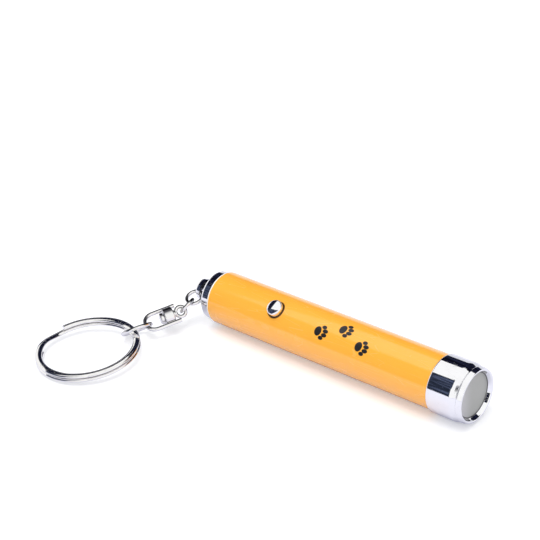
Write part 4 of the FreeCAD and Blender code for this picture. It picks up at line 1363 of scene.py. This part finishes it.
class POINTER_OT_studio(bpy.types.Operator):
    """Pale floor, soft light, reflection cards and the camera"""

    bl_idname = "pointer.studio"
    bl_label = "Studio"

    # Half side of the floor, the lamp's place, target and side, and the camera's target,
    # distance from it, angles in degrees and sensor
    floor_half = 4000.0

    lamp_place = (-80.0, -110.0, 620.0)
    lamp_target = (-10.0, 0.0, 0.0)
    lamp_side = 420.0

    camera_target = (-47.8979, 17.8923, 0.0)
    camera_away = 415.7718
    camera_azimuth = 42.9259
    camera_elevation = 29.2268
    camera_roll = -4.1291
    sensor_width = 36.0

    # Cards: angles round the barrel's axis from straight up towards -Y, station of the start,
    # stations of the end at both angles, and the two colours that a slow noise mixes; then the
    # points across each card and along it
    black, navy = (0.003, 0.003, 0.008, 1.0), (0.018, 0.021, 0.05, 1.0)
    slate, blue = (0.015, 0.02, 0.035, 1.0), (0.085, 0.105, 0.18, 1.0)
    haze = (0.72, 0.73, 0.8, 1.0)
    card_radius = 500.0
    card_rows, card_columns = 25, 9
    cards = [
        ("rear_flag", (-72, -31), -650, (560, 560), black, navy),
        ("far_flag", (-88, -50), -1600, (-700, -700), black, navy),
        ("front_flag", (27, 90.8), -650, (-60, -130), slate, blue),
        ("tail_flag", (-31, 27), -650, (-311, -425), black, navy),
        ("camera_flag", (38, 86), 318, (372, 372), black, navy),
        ("horizon_card", (-90.8, -72), -650, (300, 300), haze, haze),
    ]

    def execute(self, context):
        scene = context.scene
        scene.view_settings.view_transform = "Standard"
        studio = scene.pointer_studio
        self.surround(scene, studio.sky)
        self.floor(scene)
        self.lamp(scene, studio.overhead)
        for card in self.cards:
            self.card(scene, *card)
        self.camera(scene, studio.focal)
        return {"FINISHED"}

    def surround(self, scene, strength):
        """White where the camera, a mirror or glass looks at it, plain soft light elsewhere."""
        white = (1.0, 1.0, 1.0, 1.0)
        paint = Paint("surround", bpy.data.worlds)
        camera, mirror, glass = paint.seen_by()
        seen = camera.larger(mirror.larger(glass))
        sockets = {"Value": seen, "To Min": strength, "To Max": 1.0}
        light = paint.add("ShaderNodeMapRange", {}, sockets)
        glow = paint.add("ShaderNodeBackground", {}, {"Color": white, "Strength": light})
        scene.world = paint.finished(glow, "ShaderNodeOutputWorld")

    def floor(self, scene):
        """Flat sheet whose own glow, for the camera and for mirrors, tops up its lit white."""
        seen_glow, mirror_glow = (0.95, 0.965, 1.0, 1.0), (0.02, 0.03, 0.12, 1.0)
        dull, bright = (0.8, 0.8, 0.805, 1.0), (0.82, 0.82, 0.825, 1.0)
        mirrored = (0.735, 0.735, 0.8, 1.0)
        strength = 0.31
        half = self.floor_half
        corners = [(-half, -half, FLOOR), (half, -half, FLOOR), (half, half, FLOOR),
                   (-half, half, FLOOR)]
        mesh = bpy.data.meshes.new("floor")
        mesh.from_pydata((np.array(corners) * MM).tolist(), [], [(0, 1, 2, 3)])
        paint = Paint("floor_white")
        camera, mirror, glass = paint.seen_by()
        seen = camera.larger(mirror).larger(glass)
        tint = paint.mix(mirror, seen_glow, mirror_glow)
        white = paint.mix(paint.noise(paint.place(), 0.02, 2.0), dull, bright)
        white = paint.mix(mirror, white, mirrored)
        lit = paint.add("ShaderNodeBsdfDiffuse", {}, {"Color": white})
        sockets = {"Color": tint, "Strength": seen * strength}
        glow = paint.add("ShaderNodeEmission", {}, sockets)
        both = paint.add("ShaderNodeAddShader", {}, {0: lit, 1: glow})
        mesh.materials.append(paint.finished(both))
        sheet = bpy.data.objects.new("floor", mesh)
        scene.collection.objects.link(sheet)

    def lamp(self, scene, strength):
        """Square soft lamp that faces its target; its power grows with its area."""
        side = self.lamp_side * MM
        data = bpy.data.lights.new("overhead_lamp", "AREA")
        data.shape = "SQUARE"
        data.size = side
        data.energy = strength * math.pi * side ** 2 * 4
        lamp = bpy.data.objects.new("overhead_lamp", data)
        place = np.array(self.lamp_place)
        backward = unit(place - np.array(self.lamp_target))
        right = unit(np.cross((0, 1, 0), backward))
        up = np.cross(backward, right)
        self.stand(scene, lamp, place, right, up, backward)
        lamp.visible_glossy = False

    def card(self, scene, name, angles, start, ends, first, second):
        """Card on a wide cylinder round the barrel's axis, seen only in mirrors.

        A point is (x, -R sin a, R cos a), with x from the start to the end, which goes evenly
        from the first of the ends to the second as the angle grows.
        """
        angle = np.radians(np.linspace(*angles, self.card_rows))[:, None]
        end = np.linspace(*ends, self.card_rows)[:, None]
        x = start + (end - start) * np.linspace(0, 1, self.card_columns)[None]
        y = -self.card_radius * np.sin(angle) + 0 * x
        z = self.card_radius * np.cos(angle) + 0 * x
        mesh = grid_mesh(name, [(np.stack([x, y, z], -1), SHEET)])
        paint = Paint(name)
        spot = paint.stretched(paint.place(), (3.0, 1.0, 1.0))
        shade = paint.noise(spot, 0.018, 4.0, 0.6).above(0.52, 0.1)
        sockets = {"Color": paint.mix(shade, first, second), "Strength": 1.0}
        mesh.materials.append(paint.finished(paint.add("ShaderNodeEmission", {}, sockets)))
        sheet = bpy.data.objects.new(name, mesh)
        scene.collection.objects.link(sheet)
        sheet.visible_camera = False
        sheet.visible_diffuse = False
        sheet.visible_shadow = False
        sheet.visible_transmission = False

    def camera(self, scene, focal):
        """Camera on a sphere round the target, rolled about its line of sight."""
        azimuth = math.radians(self.camera_azimuth)
        height = math.radians(self.camera_elevation)
        roll = math.radians(self.camera_roll)
        level = math.cos(height)
        backward = np.array([math.sin(azimuth) * level, -math.cos(azimuth) * level,
                             math.sin(height)])
        place = np.array(self.camera_target) + backward * self.camera_away
        across = unit(np.cross((0, 0, 1), backward))
        rise = np.cross(backward, across)
        right = math.cos(roll) * across + math.sin(roll) * rise
        up = -math.sin(roll) * across + math.cos(roll) * rise
        data = bpy.data.cameras.new("camera")
        data.lens = focal
        data.sensor_width = self.sensor_width
        data.clip_start = 0.01
        data.clip_end = 50.0
        camera = bpy.data.objects.new("camera", data)
        self.stand(scene, camera, place, right, up, backward)
        scene.camera = camera

    def stand(self, scene, thing, place, right, up, backward):
        """Put a lamp or camera at its place, with its axes in the given directions."""
        turn = Matrix(np.stack([right, up, backward], -1).tolist())
        thing.matrix_world = Matrix.Translation(place * MM) @ turn.to_4x4()
        scene.collection.objects.link(thing)


class POINTER_PT_panel(bpy.types.Panel):
    """Lists the pieces and their sizes"""

    bl_idname = "POINTER_PT_panel"
    bl_label = "Cat laser pointer"
    bl_space_type = "VIEW_3D"
    bl_region_type = "UI"
    bl_category = "Pointer"

    def draw(self, context):
        layout = self.layout
        for name in GROUPS:
            group = getattr(context.scene, name)
            box = layout.box()
            for field in group.__annotations__:
                box.prop(group, field)
        for operator in OPERATORS:
            layout.operator(operator.bl_idname)


GROUPS = {
    "pointer_barrel": BarrelSizes,
    "pointer_chain": ChainSizes,
    "pointer_colours": FinishColours,
    "pointer_studio": StudioSettings,
}
OPERATORS = [
    POINTER_OT_barrel,
    POINTER_OT_head,
    POINTER_OT_button,
    POINTER_OT_tail,
    POINTER_OT_chain,
    POINTER_OT_split_ring,
    POINTER_OT_inside,
    POINTER_OT_studio,
]


def register():
    """Make the settings and buttons known to Blender."""
    for name, group in GROUPS.items():
        bpy.utils.register_class(group)
        setattr(bpy.types.Scene, name, PointerProperty(type=group))
    for operator in OPERATORS:
        bpy.utils.register_class(operator)
    bpy.utils.register_class(POINTER_PT_panel)


def unregister():
    """Take the settings and buttons away again."""
    bpy.utils.unregister_class(POINTER_PT_panel)
    for operator in reversed(OPERATORS):
        bpy.utils.unregister_class(operator)
    for name, group in reversed(GROUPS.items()):
        delattr(bpy.types.Scene, name)
        bpy.utils.unregister_class(group)


def main():
    """Register the classes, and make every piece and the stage."""
    register()
    for operator in OPERATORS:
        group, name = operator.bl_idname.split(".")
        getattr(getattr(bpy.ops, group), name)()


if __name__ == "__main__":
    main()
